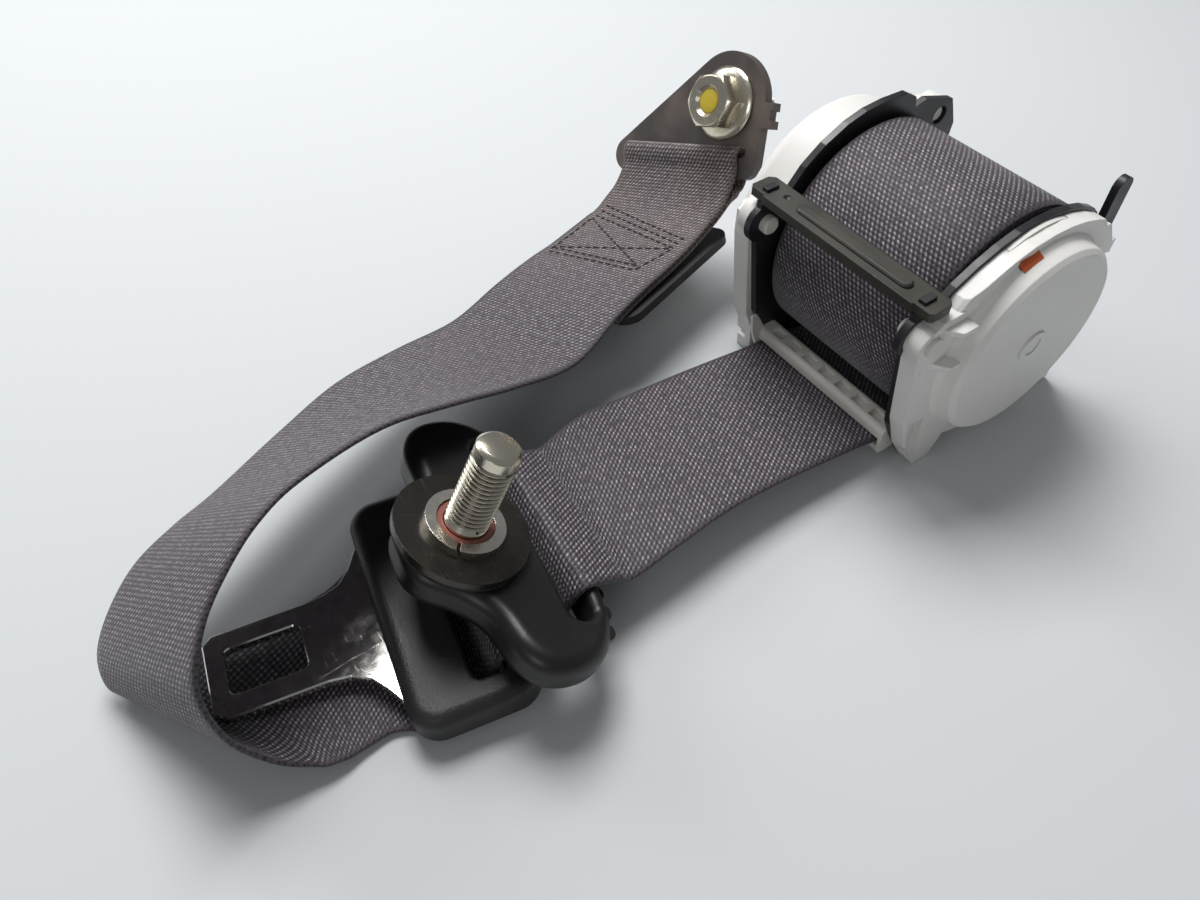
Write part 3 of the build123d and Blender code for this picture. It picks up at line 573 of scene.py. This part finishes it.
def hexagon(name: str, across_flats: float, low: float, high: float, chamfer: float,
            crown_up: bool = True) -> bpy.types.Object:
    """Hexagon head whose corners are turned off at one end.

    Args:
        name: Name of the piece.
        across_flats: Width over flats in millimetres.
        low: Lower height in millimetres.
        high: Upper height in millimetres.
        chamfer: Height lost at the corners in millimetres.
        crown_up: Whether the turned end is the upper one.

    Returns:
        The new object.
    """
    corner = across_flats / math.sqrt(3)
    clear_selection()
    bpy.ops.mesh.primitive_cylinder_add(vertices=6, radius=corner * MM, depth=(high - low) * MM,
                                        location=(0, 0, (high + low) / 2 * MM),
                                        rotation=(0, 0, math.radians(30)))
    head = bpy.context.object
    head.name = name
    bpy.ops.object.transform_apply(location=True, rotation=True, scale=True)
    flat = across_flats / 2
    if crown_up:
        cone = [(0, low - 1), (corner + 1, low - 1), (corner + 1, high - chamfer * 1.4),
                (flat * 0.97, high), (0, high)]
    else:
        cone = [(0, low), (flat * 0.97, low), (corner + 1, low + chamfer * 1.4),
                (corner + 1, high + 1), (0, high + 1)]
    carve(head, turned(name + "_cone", cone, 96), "INTERSECT")
    soften(head, 0.25)
    apply_modifiers(head)
    return head


@dataclass(frozen=True)
class Datum:
    """Origin in millimetres with a local x and z direction."""

    origin: tuple[float, float, float]
    x: tuple[float, float, float]
    z: tuple[float, float, float]

    def matrix(self) -> Matrix:
        """Matrix from the local axes, in metres, to the shared frame."""
        z = Vector(self.z).normalized()
        x = (Vector(self.x) - z * Vector(self.x).dot(z)).normalized()
        y = z.cross(x)
        turn = Matrix((x, y, z)).transposed().to_4x4()
        return Matrix.Translation(Vector(self.origin) * MM) @ turn

    def point(self, x: float, y: float, z: float) -> Vector:
        """Local point as a point of the frame, both in millimetres."""
        return (self.matrix() @ Vector((x * MM, y * MM, z * MM))) / MM

    def station(self, y: float, z: float, x: float = 0.0) -> tuple:
        """Station of a run at a local point, with the run's width against the local x axis."""
        across = self.matrix().to_3x3() @ Vector((1, 0, 0))
        return (*self.point(x, y, z), *(-across))


RING_MIDDLE = 0.4          # middle of the webbing along the ring's slot
RING = Datum((2.0, -144.4, 25.4), (0.9943, -0.0683, -0.0820), (0.1030, 0.4131, 0.9048))
TONGUE = Datum((-1.0, -155.0, 0.0), (math.cos(math.radians(-11)), math.sin(math.radians(-11)), 0),
               (0, 0, 1))
ANCHOR = Datum((-79.5, -17.0, 32.3), (0.92, 0.20, 0.34), (0.038, -0.903, 0.428))


def place(piece: bpy.types.Object, datum: Datum, x: float = 0.0, y: float = 0.0) -> None:
    """Move a piece's mesh from a local point, in millimetres, into the frame."""
    piece.data.transform(datum.matrix() @ Matrix.Translation((x * MM, y * MM, 0)))
    piece.data.update()


def dress(piece: bpy.types.Object, body: Body, slot: str | None, material: bpy.types.Material,
          *nodes: str) -> None:
    """Give a piece its finish, its body and the nodes it stands for.

    Args:
        piece: Finished object.
        body: Body that it rides on.
        slot: Material slot of the record, or None for a finish that no node has; not used.
        material: Material to assign.
        *nodes: CAD nodes that it replaces.
    """
    piece.data.materials.clear()
    piece.data.materials.append(material)
    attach(piece, body.value)
    if nodes:
        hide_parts(*nodes)
    LOG.info("%s: %d faces on %s", piece.name, len(piece.data.polygons), body.value)


def dress_node(name: str, material: bpy.types.Material) -> None:
    """Give a carried-over node its finish."""
    node = bpy.data.objects[name]
    if not node.material_slots:
        node.data.materials.append(material)
    for entry in node.material_slots:
        entry.link = "OBJECT"
        entry.material = material
    LOG.info("%s: CAD shape, %s", name, material.name)


# Webbing


def catmull_rom(stations: list[tuple], count: int) -> list[tuple]:
    """Values on a smooth curve through stations.

    Args:
        stations: Rows of numbers to pass through.
        count: Steps between two rows.

    Returns:
        The rows of the smooth curve.
    """
    rows = []
    last = len(stations) - 1
    for k in range(last):
        p = [stations[max(k - 1, 0)], stations[k], stations[k + 1], stations[min(k + 2, last)]]
        for j in range(count):
            t = j / count
            rows.append(tuple(
                0.5 * (2 * b + (c - a) * t + (2 * a - 5 * b + 4 * c - d) * t * t
                       + (3 * b - a - 3 * c + d) * t ** 3) for a, b, c, d in zip(*p)))
    rows.append(tuple(stations[-1]))
    return rows


def swept(name: str, points: list[Vector], uvs: list[tuple[float, float]],
          around: int) -> bpy.types.Object:
    """Closed band from rings of points, with a UV map.

    Args:
        name: Name of the piece.
        points: Points in metres, ring after ring.
        uvs: Across and along of each point, in metres.
        around: Points in one ring.

    Returns:
        The band, smoothed.
    """
    last = len(points) - around
    faces = [(k + i, k + (i + 1) % around, k + around + (i + 1) % around, k + around + i)
             for k in range(0, last, around) for i in range(around)]
    faces += [tuple(reversed(range(around))), tuple(range(last, last + around))]
    piece = raw_object(name, points, faces)
    layer = piece.data.uv_layers.new(name=UV_MAP)
    for loop in piece.data.loops:
        layer.data[loop.index].uv = uvs[loop.vertex_index]
    recalculate(piece, 0.0001)
    return settle(piece, 50)


@dataclass
class Webbing:
    """A run of webbing through stations of centre and width direction, in millimetres."""

    name: str
    stations: list[tuple]
    node: str
    held: Rest
    rests_on: list[str]
    width: float = WEBBING_WIDTH
    thick: float = 1.2
    steps: int = 6
    columns: int = 20
    gather: tuple[tuple[float, float], ...] = ()    # (length along, share of the width)
    rows: list[tuple] = field(default_factory=list)
    lengths: list[float] = field(default_factory=list)

    def spine(self) -> None:
        """Sample the run and measure the length along it."""
        self.rows = catmull_rom(self.stations, self.steps)
        self.lengths = [0.0]
        for a, b in zip(self.rows, self.rows[1:]):
            self.lengths.append(self.lengths[-1] + (Vector(b[:3]) - Vector(a[:3])).length)

    def axes(self, k: int) -> tuple[Vector, Vector, Vector, float]:
        """Centre, width direction, upward normal and reach of the ruling at one row."""
        a, b = self.rows[max(k - 1, 0)], self.rows[min(k + 1, len(self.rows) - 1)]
        along = (Vector(b[:3]) - Vector(a[:3])).normalized()
        wide = Vector(self.rows[k][3:]).normalized()
        cross = along.cross(wide)
        share = self.share(self.lengths[k])
        return Vector(self.rows[k][:3]), wide, cross.normalized(), share / cross.length

    def share(self, length: float) -> float:
        """Share of the full width to which the webbing is drawn together at a length."""
        if not self.gather or length <= self.gather[0][0]:
            return self.gather[0][1] if self.gather else 1.0
        for (s0, f0), (s1, f1) in zip(self.gather, self.gather[1:]):
            if length <= s1:
                t = (length - s0) / (s1 - s0)
                return f0 + (f1 - f0) * t * t * (3 - 2 * t)
        return self.gather[-1][1]

    def section(self) -> list[tuple[float, float]]:
        """Cross-section points (across, up) with rounded selvedges, counter-clockwise."""
        half, thin = self.width / 2, self.thick / 2
        flat = half - thin
        top = [(-flat + 2 * flat * i / self.columns, thin) for i in range(self.columns + 1)]
        right = [(flat + thin * math.sin(a), thin * math.cos(a))
                 for a in (math.pi / 4, math.pi / 2, 3 * math.pi / 4)]
        low = [(x, -y) for x, y in reversed(top)]
        left = [(-x, -y) for x, y in right]
        return top + right + low + left

    def build(self, material: bpy.types.Material) -> bpy.types.Object:
        """Make the ribbon with a UV map in metres and dress it.

        Args:
            material: Woven finish.

        Returns:
            The finished piece.
        """
        self.spine()
        shape = self.section()
        verts, uvs = [], []
        for k in range(len(self.rows)):
            centre, wide, up, reach = self.axes(k)
            for x, y in shape:
                verts.append((centre + wide * (x * reach) + up * y) * MM)
                uvs.append(((x + self.width / 2) * MM, self.lengths[k] * MM))
        piece = swept(self.name, verts, uvs, len(shape))
        dress(piece, Body.BELT, "webbing", material, self.node)
        return piece

    def spot(self, across: float, along: float, lift: float) -> tuple[Vector, Vector]:
        """Point on the upper face, with the up direction there.

        Args:
            across: Distance from the middle, in millimetres.
            along: Length along the run, in millimetres.
            lift: Height above the face, in millimetres.

        Returns:
            Point in millimetres and direction up.
        """
        k = max(i for i, s in enumerate(self.lengths) if s <= along)
        k = min(k, len(self.rows) - 2)
        t = (along - self.lengths[k]) / (self.lengths[k + 1] - self.lengths[k])
        c0, w0, u0, r0 = self.axes(k)
        c1, w1, u1, r1 = self.axes(k + 1)
        face = self.thick / 2 + lift
        p0, p1 = c0 + w0 * across * r0 + u0 * face, c1 + w1 * across * r1 + u1 * face
        return p0.lerp(p1, t), u0.lerp(u1, t).normalized()


def shoulder_run() -> list[tuple]:
    """Stations from the roll through the guide to the ring's slot."""
    run = [(0, y, z, -1, 0, 0) for y, z in
           ((6, 3.1), (0, 3.1), (-8, 3.2), (-16, 4.7), (-22, 6.3), (-27, 6.75), (-31, 7.0))]
    run += [(-0.2, -37, 7.8, -1, 0, -0.02), (-0.8, -50, 9.2, -1, 0, -0.03),
            (-1.4, -66, 10.8, -1, 0, -0.04), (-1.2, -82, 12.4, -1, 0.01, -0.03),
            (0.2, -96, 14.0, -1, 0.03, 0.02), RING.station(36, 4.8, -0.6)]
    return run + [RING.station(v, w, RING_MIDDLE) for v, w in
                  ((31.5, 5.85), (27, 6.0), (23.4, 5.9), (21.8, 5.1), (21.0, 3.4), (20.7, 2),
                   (20.7, 1), (20.7, 0))]


def middle_run() -> list[tuple]:
    """Stations from the ring's slot over and under the bar of the tongue."""
    run = [RING.station(v, w, RING_MIDDLE)
           for v, w in ((20.7, 0), (20.7, -1), (20.7, -2), (20.5, -4))]
    return run + [TONGUE.station(y, z) for y, z in
                  ((24.0, 12.2), (20.5, 12.3), (17.5, 12.5), (15, 12.4), (13.3, 11.9), (12.5, 10.6),
                   (11.6, 7.6), (10.6, 5.0), (9.3, 3.0), (8.0, 1.7), (6.2, 1.05), (3, 1.0),
                   (-1, 1.0), (-3, 1.0), (-4, 1.0))]


LAP_TURN = [(-0.9, -165, 1.1, -.985, .15, 0), (-0.1, -173, 1.3, -.99, .05, -.01),
            (-0.2, -182, 1.6, -.99, -.08, -.03), (-1.1, -190.5, 2.2, -.95, -.25, -.06),
            (-2.2, -199, 2.9, -.89, -.40, -.10), (-3.2, -206.5, 6, -.85, -.45, -.22),
            (-5.2, -210.3, 13, -.81, -.42, -.39), (-10, -209.5, 22, -.78, -.38, -.50),
            (-15.5, -203.5, 29, -.75, -.37, -.55), (-21, -195, 33.5, -.74, -.36, -.57),
            (-26, -185, 35.5, -.72, -.34, -.61)]
LAP_RISE = [(-31, -174, 35, -.71, -.34, -.62), (-39, -154, 33, -.77, -.35, -.54),
            (-45, -135, 29, -.86, -.35, -.38), (-50, -116, 23, -.91, -.32, -.27),
            (-54.5, -96, 18, -.93, -.30, -.21)]
LAP_SEWN = [(-62, -77, 18.5, -.93, -.29, -.24), (-66, -64, 19.3, -.93, -.28, -.26),
            (-69, -53, 19.6, -.93, -.26, -.28), (-72.5, -42, 20, -.93, -.24, -.30),
            (-75.3, -32.5, 21.6, -.93, -.22, -.33), (-76.6, -25.5, 26, -.925, -.21, -.34)]


# Lengths along a run, in millimetres, with the share of the width to which it is gathered
SHOULDER_GATHER = ((96.0, 1.0), (124.0, 0.88), (150.0, 0.86))
MIDDLE_GATHER = ((2.0, 0.86), (22.0, 1.0))
LAP_GATHER = ((3.0, 1.0), (14.0, 0.88), (34.0, 0.92), (70.0, 1.0), (262.0, 1.0), (283.0, 0.985),
              (300.0, 0.985), (318.0, 1.0))
SEWN_FROM = 237.0


def one_layer_under(stations: list[tuple], drop: float = 1.5) -> list[tuple]:
    """The same stations one layer lower, in reverse order."""
    result = []
    for k, s in enumerate(stations):
        a, b = stations[max(k - 1, 0)], stations[min(k + 1, len(stations) - 1)]
        along = (Vector(b[:3]) - Vector(a[:3])).normalized()
        up = along.cross(Vector(s[3:])).normalized()
        result.append((*(Vector(s[:3]) - up * drop), *s[3:]))
    return result[::-1]


def lap_run() -> list[tuple]:
    """Stations from the tongue to the anchor, round its bar and sewn back."""
    run = [TONGUE.station(y, 1.0) for y in (-4, -5, -6)] + LAP_TURN + LAP_RISE + LAP_SEWN
    run += [ANCHOR.station(y, z) for y, z in
            ((-2, 3.0), (1.6, 3.5), (3.9, 3.4), (5.1, 2.4), (4.9, 0.4), (4.4, -1.5), (2.2, -2.5),
             (-2, -2.6), (-5.3, -1.6), (-7.2, 0.6))]
    return run + one_layer_under(LAP_SEWN)


@dataclass
class WebbingRoll:
    """Webbing wound on the spool, as one spiral strip."""

    inner: float = 9.2
    outer: float = 31.35
    width: float = WEBBING_WIDTH
    thick: float = 1.15
    axis_z: float = 36.0
    turns: int = 17
    steps: int = 60

    def build(self, material: bpy.types.Material) -> bpy.types.Object:
        """Make the spiral with a UV map in metres and dress it.

        Args:
            material: Woven finish.

        Returns:
            The finished piece.
        """
        half, thin = self.width / 2, self.thick / 2
        flat = half - thin
        shape = [(-flat, thin), (-flat / 3, thin), (flat / 3, thin), (flat, thin), (half, 0),
                 (flat, -thin), (-flat, -thin), (-half, 0)]
        total = self.turns * self.steps
        verts, uvs, run = [], [], 0.0
        for k in range(total + 1):
            t = k / total
            radius = self.inner + (self.outer - self.inner) * t
            angle = -math.pi / 2 + (1 - t) * self.turns * TURN
            for x, y in shape:
                r = radius + y
                verts.append((x * MM, r * math.cos(angle) * MM,
                              (self.axis_z + r * math.sin(angle)) * MM))
                uvs.append(((x + half) * MM, run * MM))
            run += radius * TURN / self.steps
        piece = swept("wound_webbing", verts, uvs, len(shape))
        dress(piece, Body.SPOOL, "webbing", material, "webbing_roll")
        return piece


@dataclass
class SewnEnd:
    """Stitching that closes the webbing's loop round the anchor plate."""

    webbing: Webbing
    start: float            # length along the run where the sewn field begins, in millimetres
    half_width: float = 20.5
    stitch: float = 2.4
    gap: float = 0.5
    thread: float = 0.75
    lift: float = 0.05      # middle of the thread above the face

    def lines(self) -> list[list[tuple[float, float]]]:
        """Sewn lines as corner lists of (across, along), a hand-fed box with crossed rows."""
        w = self.half_width
        box = [[(w, 0), (-14.5, 0), (-w + 1.5, 13)], [(w, 2.2), (-14, 2.2)], [(w, 1), (w, 21)]]
        rows = [[(w, 28), (-w, 18)], [(w, 25.4), (-w + 0.5, 15.6)], [(w, 22.6), (-w + 1, 13.4)]]
        crossed = [[(w, 21), (-14, 2)], [(w - 1.5, 3), (-w + 2, 13)]]
        return [[(x, y + self.start) for x, y in line] for line in box + rows + crossed]

    def build(self, material: bpy.types.Material) -> bpy.types.Object:
        """Set one modelled stitch along every line.

        Args:
            material: Thread finish.

        Returns:
            The finished piece.
        """
        clear_selection()
        bpy.ops.mesh.primitive_uv_sphere_add(segments=6, ring_count=4, radius=1.0)
        seed = bpy.context.object
        form = [Vector(v.co) for v in seed.data.vertices]
        skin = [tuple(p.vertices) for p in seed.data.polygons]
        bpy.data.objects.remove(seed, do_unlink=True)
        verts, faces = [], []
        sewn = [pair for line in self.lines() for pair in zip(line, line[1:])]
        for (x0, y0), (x1, y1) in sewn:
            run = math.hypot(x1 - x0, y1 - y0)
            count = max(1, round(run / (self.stitch + self.gap)))
            for k in range(count):
                (p, up), (q, _) = (
                    self.webbing.spot(x0 + (x1 - x0) * t, y0 + (y1 - y0) * t, self.lift)
                    for t in ((k + 0.1) / count, (k + 0.9) / count))
                along = (q - p).normalized()
                side = up.cross(along).normalized()
                mid, half = (p + q) / 2, (q - p).length / 2
                base = len(verts)
                for c in form:
                    verts.append((mid + along * (c.z * half) + side * (c.x * self.thread / 2)
                                  + up * (c.y * self.thread / 2)) * MM)
                faces += [tuple(base + i for i in f) for f in skin]
        piece = raw_object("anchor_stitching", verts, faces)
        settle(piece, 60)
        dress(piece, Body.BELT, "webbing", material)
        return piece


# Metal pieces modelled here


@dataclass
class PillarBolt:
    """M10 pillar bolt: hexagon, flange, shoulder, rolled thread and turned end."""

    thread_low: float = 10.9
    turns: int = 14
    pitch: float = 1.25
    crest: float = 5.0
    root: float = 4.12
    reach: float = 32.6

    def build(self, material: bpy.types.Material) -> bpy.types.Object:
        """Model the bolt in the ring's axes and dress it.

        Args:
            material: Plated finish.

        Returns:
            The finished piece.
        """
        top = self.thread_low + self.turns * self.pitch
        shoulder = turned("bolt_shoulder", [
            (0, -3.1), (9.6, -3.1), (10.2, -2.9), (10.5, -2.4), (10.5, -1.9), (10.3, -1.6),
            (6.4, -1.6), (6.4, 5.7), (6.1, 6.0), (4.9, 6.0), (4.9, self.thread_low - 0.6),
            (self.root, self.thread_low + 0.3), (self.root, top - 0.2), (0, top - 0.2)])
        half = self.pitch / 2
        lead = self.thread_low - half
        thread = turned("bolt_thread", [
            (self.root - 0.02, lead), (self.root, lead + 0.06),
            (self.crest - 0.06, lead + half - 0.13),
            (self.crest, lead + half - 0.05), (self.crest, lead + half + 0.05),
            (self.crest - 0.06, lead + half + 0.13), (self.root, lead + self.pitch - 0.06),
            (self.root - 0.02, lead + self.pitch)], 72, self.pitch, self.turns)
        mark_grooves(thread, self.crest, self.root)
        end = turned("bolt_end", [
            (0, top - 1.0), (self.root - 0.02, top - 1.0), (self.root - 0.02, top + 0.5),
            (self.crest - 0.1, top + 0.8), (self.crest, top + 0.95),
            (self.crest, self.reach - 0.95),
            (self.crest - 0.1, self.reach - 0.8), (self.crest - 0.85, self.reach - 0.1),
            (self.crest - 1.05, self.reach), (0, self.reach)])
        head = hexagon("bolt_hexagon", 17.0, -9.0, -3.0, 1.0, crown_up=False)
        piece = join("pillar_bolt_rolled", [shoulder, thread, end, head])
        place(piece, RING)
        settle(piece, 32)
        dress(piece, Body.PILLAR_BOLT, "zinc", material, "pillar_bolt")
        return piece


@dataclass
class AnchorBolt:
    """Flange bolt of the floor anchor, with a dished hexagon head."""

    at: tuple[float, float] = (15.0, 17.4)
    plate_half: float = 1.5
    reach: float = 17.5

    def build(self, material: bpy.types.Material, mark: bpy.types.Material) -> None:
        """Model the bolt and the dab of colour in its dish, and dress both.

        Args:
            material: Plated finish.
            mark: Finish of the dab.
        """
        low = self.plate_half + 0.05
        flange = turned("anchor_flange", [
            (0, low), (9.9, low), (10.25, low + 0.25), (10.3, low + 0.7), (10.0, low + 1.1),
            (8.4, low + 1.85), (0, low + 1.9)])
        head = hexagon("anchor_hexagon", 14.0, low + 1.5, 9.9, 1.0)
        dish = turned("anchor_dish", [(0, 9.1), (3.6, 9.1), (4.5, 9.95), (4.5, 11), (0, 11)], 48)
        carve(head, dish, "DIFFERENCE")
        shank = turned("anchor_shank", [(0, low + 0.2), (4.9, low + 0.2), (4.9, -3.7),
                                        (4.3, -4.3), (4.3, -self.reach + 0.8),
                                        (0, -self.reach + 0.8)])
        thread = turned("anchor_thread", [
            (4.2, -self.reach + 1.0), (4.92, -self.reach + 1.55), (5.0, -self.reach + 1.625),
            (4.92, -self.reach + 1.7), (4.2, -self.reach + 2.25)], 48, 1.25, 9)
        mark_grooves(thread, 5.0, 4.2)
        tip = turned("anchor_tip", [(0, -self.reach), (3.9, -self.reach),
                                    (4.8, -self.reach + 1.0), (4.3, -self.reach + 1.4),
                                    (0, -self.reach + 1.4)])
        piece = join("anchor_bolt_rolled", [flange, head, shank, thread, tip])
        place(piece, ANCHOR, *self.at)
        settle(piece, 32)
        dress(piece, Body.ANCHOR_BOLT, "zinc", material, "anchor_bolt")
        dab = turned("anchor_mark", [(0, 9.4), (1.6, 9.38), (2.9, 9.28), (3.5, 9.1), (0, 9.05)], 24)
        place(dab, ANCHOR, *self.at)
        settle(dab, 60)
        dress(dab, Body.ANCHOR_BOLT, None, mark)


@dataclass
class InspectionWindow:
    """Small orange insert in the spring cover."""

    long: float = 6.0
    high: float = 3.7
    thick: float = 0.8
    seat: Datum = Datum((31.75, -7.9, 62.55), (0.0, 0.97, 0.245), (0.574, -0.2, 0.79))

    def build(self, material: bpy.types.Material) -> bpy.types.Object:
        """Model the insert as an inset plate with rounded edges and dress it."""
        clear_selection()
        bpy.ops.mesh.primitive_cube_add(size=1.0)
        piece = bpy.context.object
        piece.name = "inspection_window"
        piece.scale = (self.long * MM, self.high * MM, self.thick * MM)
        bpy.ops.object.transform_apply(location=True, rotation=True, scale=True)
        bpy.ops.object.mode_set(mode="EDIT")
        mesh = bmesh.from_edit_mesh(piece.data)
        for f in mesh.faces:
            f.select_set(f.normal.z > 0.9)
        bmesh.update_edit_mesh(piece.data)
        bpy.ops.mesh.inset(thickness=0.5 * MM, depth=-0.15 * MM)
        bpy.ops.object.mode_set(mode="OBJECT")
        soften(piece, 0.12)
        settle(piece, 40)
        place(piece, self.seat)
        dress(piece, Body.BELT, None, material)
        return piece


# Carried-over nodes


@dataclass
class CadNodes:
    """Finishes of the nodes whose CAD shape is shown as it is."""

    table: dict[str, Finish] = field(default_factory=lambda: {
        "frame": BLACK_STEEL, "tie_bar": BAR_STEEL, "spool": STEEL, "torsion_bar": STEEL,
        "ratchet_wheel": STEEL, "lock_disc": DARK, "lock_pawl": STEEL, "pawl_pin": STEEL,
        "sensor_housing": NYLON, "sensor_ball": CHROME, "sensor_lever": NYLON,
        "lock_cover": WHITE, "spring_plate": WHITE, "spring_cover": WHITE,
        "spiral_spring": STEEL, "spring_arbor": NYLON, "webbing_guide": NYLON,
        "snap_pegs": NYLON, "spool_bushes": NYLON, "ring_body": SMOOTH, "ring_plate": PLATE_STEEL,
        "ring_bush": NYLON, "damping_washer": RUBBER, "large_washer": DARK_ZINC,
        "spring_washer": ZINC, "retaining_ring": PINK, "tongue_plate": CHROME,
        "tongue_handle": GRAINED, "anchor_plate": PLATE_STEEL, "anchor_retainer": DARK,
        "anchor_base": DARK})

    def build(self) -> None:
        """Make each finish once and assign it."""
        made: dict[str, bpy.types.Material] = {}
        for name, finish in self.table.items():
            if finish.name not in made:
                made[finish.name] = finish.build()
            dress_node(name, made[finish.name])


# Studio


@dataclass(frozen=True)
class Lamp:
    """Square soft lamp, in metres and watts."""

    name: str
    at: tuple[float, float, float]
    size: float
    power: float
    aim: tuple[float, float, float] = (-0.02, -0.09, 0.03)

    def build(self) -> None:
        """Hang the lamp so that it faces the belt."""
        data = bpy.data.lights.new(self.name, "AREA")
        data.size = self.size
        data.energy = self.power
        lamp = bpy.data.objects.new(self.name, data)
        bpy.context.scene.collection.objects.link(lamp)
        lamp.location = self.at
        towards = Vector(self.aim) - Vector(self.at)
        lamp.rotation_euler = towards.to_track_quat("-Z", "Y").to_euler()


@dataclass
class Studio:
    """Pale floor, soft lamps and the camera."""

    eye: tuple[float, float, float] = (113.60, -181.07, 193.16)
    right: tuple[float, float, float] = (0.568, 0.823, -0.005)
    up: tuple[float, float, float] = (-0.628, 0.437, 0.644)
    lens: float = 27.49
    sensor_mm: float = 36.0
    floor_half: float = 4.0
    floor_drop_mm: float = 0.2
    fill: float = 0.22
    lamps: tuple[Lamp, ...] = (Lamp("overhead", (-0.40, 0.06, 0.82), 0.44, 8.7),
                               Lamp("window", (0.55, -0.75, 0.60), 0.4, 1.0),
                               Lamp("rim", (-0.75, -0.3, 0.5), 0.35, 2.0))

    def camera(self) -> None:
        """Set the camera at the photograph's viewpoint."""
        data = bpy.data.cameras.new("view")
        data.lens = self.lens
        data.sensor_width = self.sensor_mm
        data.clip_start, data.clip_end = 0.005, 30.0
        eye = bpy.data.objects.new("view", data)
        bpy.context.scene.collection.objects.link(eye)
        right = Vector(self.right).normalized()
        up = (Vector(self.up) - right * Vector(self.up).dot(right)).normalized()
        turn = Matrix((right, up, right.cross(up))).transposed().to_4x4()
        eye.matrix_world = Matrix.Translation(Vector(self.eye) * MM) @ turn
        bpy.context.scene.camera = eye

    def floor(self) -> None:
        """Make the plain floor, which looks the same in reflections."""
        clear_selection()
        bpy.ops.mesh.primitive_plane_add(size=2 * self.floor_half,
                                         location=(0, 0, -self.floor_drop_mm * MM))
        ground = bpy.context.object
        ground.name = "floor"
        mat, _, shader = open_material("pale_card")
        shader.inputs["Base Color"].default_value = linear("c9ccce")
        shader.inputs["Roughness"].default_value = 0.9
        ground.data.materials.append(mat)

    def world(self) -> None:
        """Even pale surroundings."""
        world = bpy.data.worlds.new("room")
        bpy.context.scene.world = world
        world.use_nodes = True
        tree = world.node_tree
        tree.nodes.clear()
        path = add_node(tree, "LightPath")
        seen = math_node(tree, "MAXIMUM", path.outputs["Is Camera Ray"],
                         path.outputs["Is Transmission Ray"])
        fill = add_node(tree, "Background", {0: linear("eef1f4"), 1: self.fill})
        back = add_node(tree, "Background", {0: linear("f2f2f0"), 1: 1.0})
        mix = add_node(tree, "MixShader", {0: seen, 1: fill.outputs[0], 2: back.outputs[0]})
        add_node(tree, "OutputWorld", {0: mix.outputs[0]})

    def build(self) -> None:
        """Make the whole studio."""
        self.camera()
        self.floor()
        self.world()
        for lamp in self.lamps:
            lamp.build()
        bpy.context.scene.view_settings.view_transform = "Standard"


def main() -> None:
    """Build the studio, then the belt from the retractor to the anchor."""
    Studio().build()
    CadNodes().build()
    cloth, soiled, zinc = CLEAN_CLOTH.build(), SOILED_CLOTH.build(), ROLLED.build()
    Webbing("shoulder_webbing", shoulder_run(), "webbing_shoulder", Rest.STRETCHED,
            ["webbing_guide", "ring_body"], gather=SHOULDER_GATHER).build(cloth)
    Webbing("middle_webbing", middle_run(), "webbing_middle", Rest.STRETCHED,
            ["ring_body", "tongue_handle"], gather=MIDDLE_GATHER).build(cloth)
    lap = Webbing("lap_webbing", lap_run(), "webbing_lap", Rest.FOLDED,
                  ["anchor_base", "anchor_plate", "tongue_handle"], gather=LAP_GATHER)
    lap.build(soiled)
    WebbingRoll().build(cloth)
    SewnEnd(lap, SEWN_FROM).build(THREAD.build())
    PillarBolt().build(zinc)
    AnchorBolt().build(zinc, YELLOW.build())
    InspectionWindow().build(ORANGE.build())


if __name__ == "__main__":
    main()
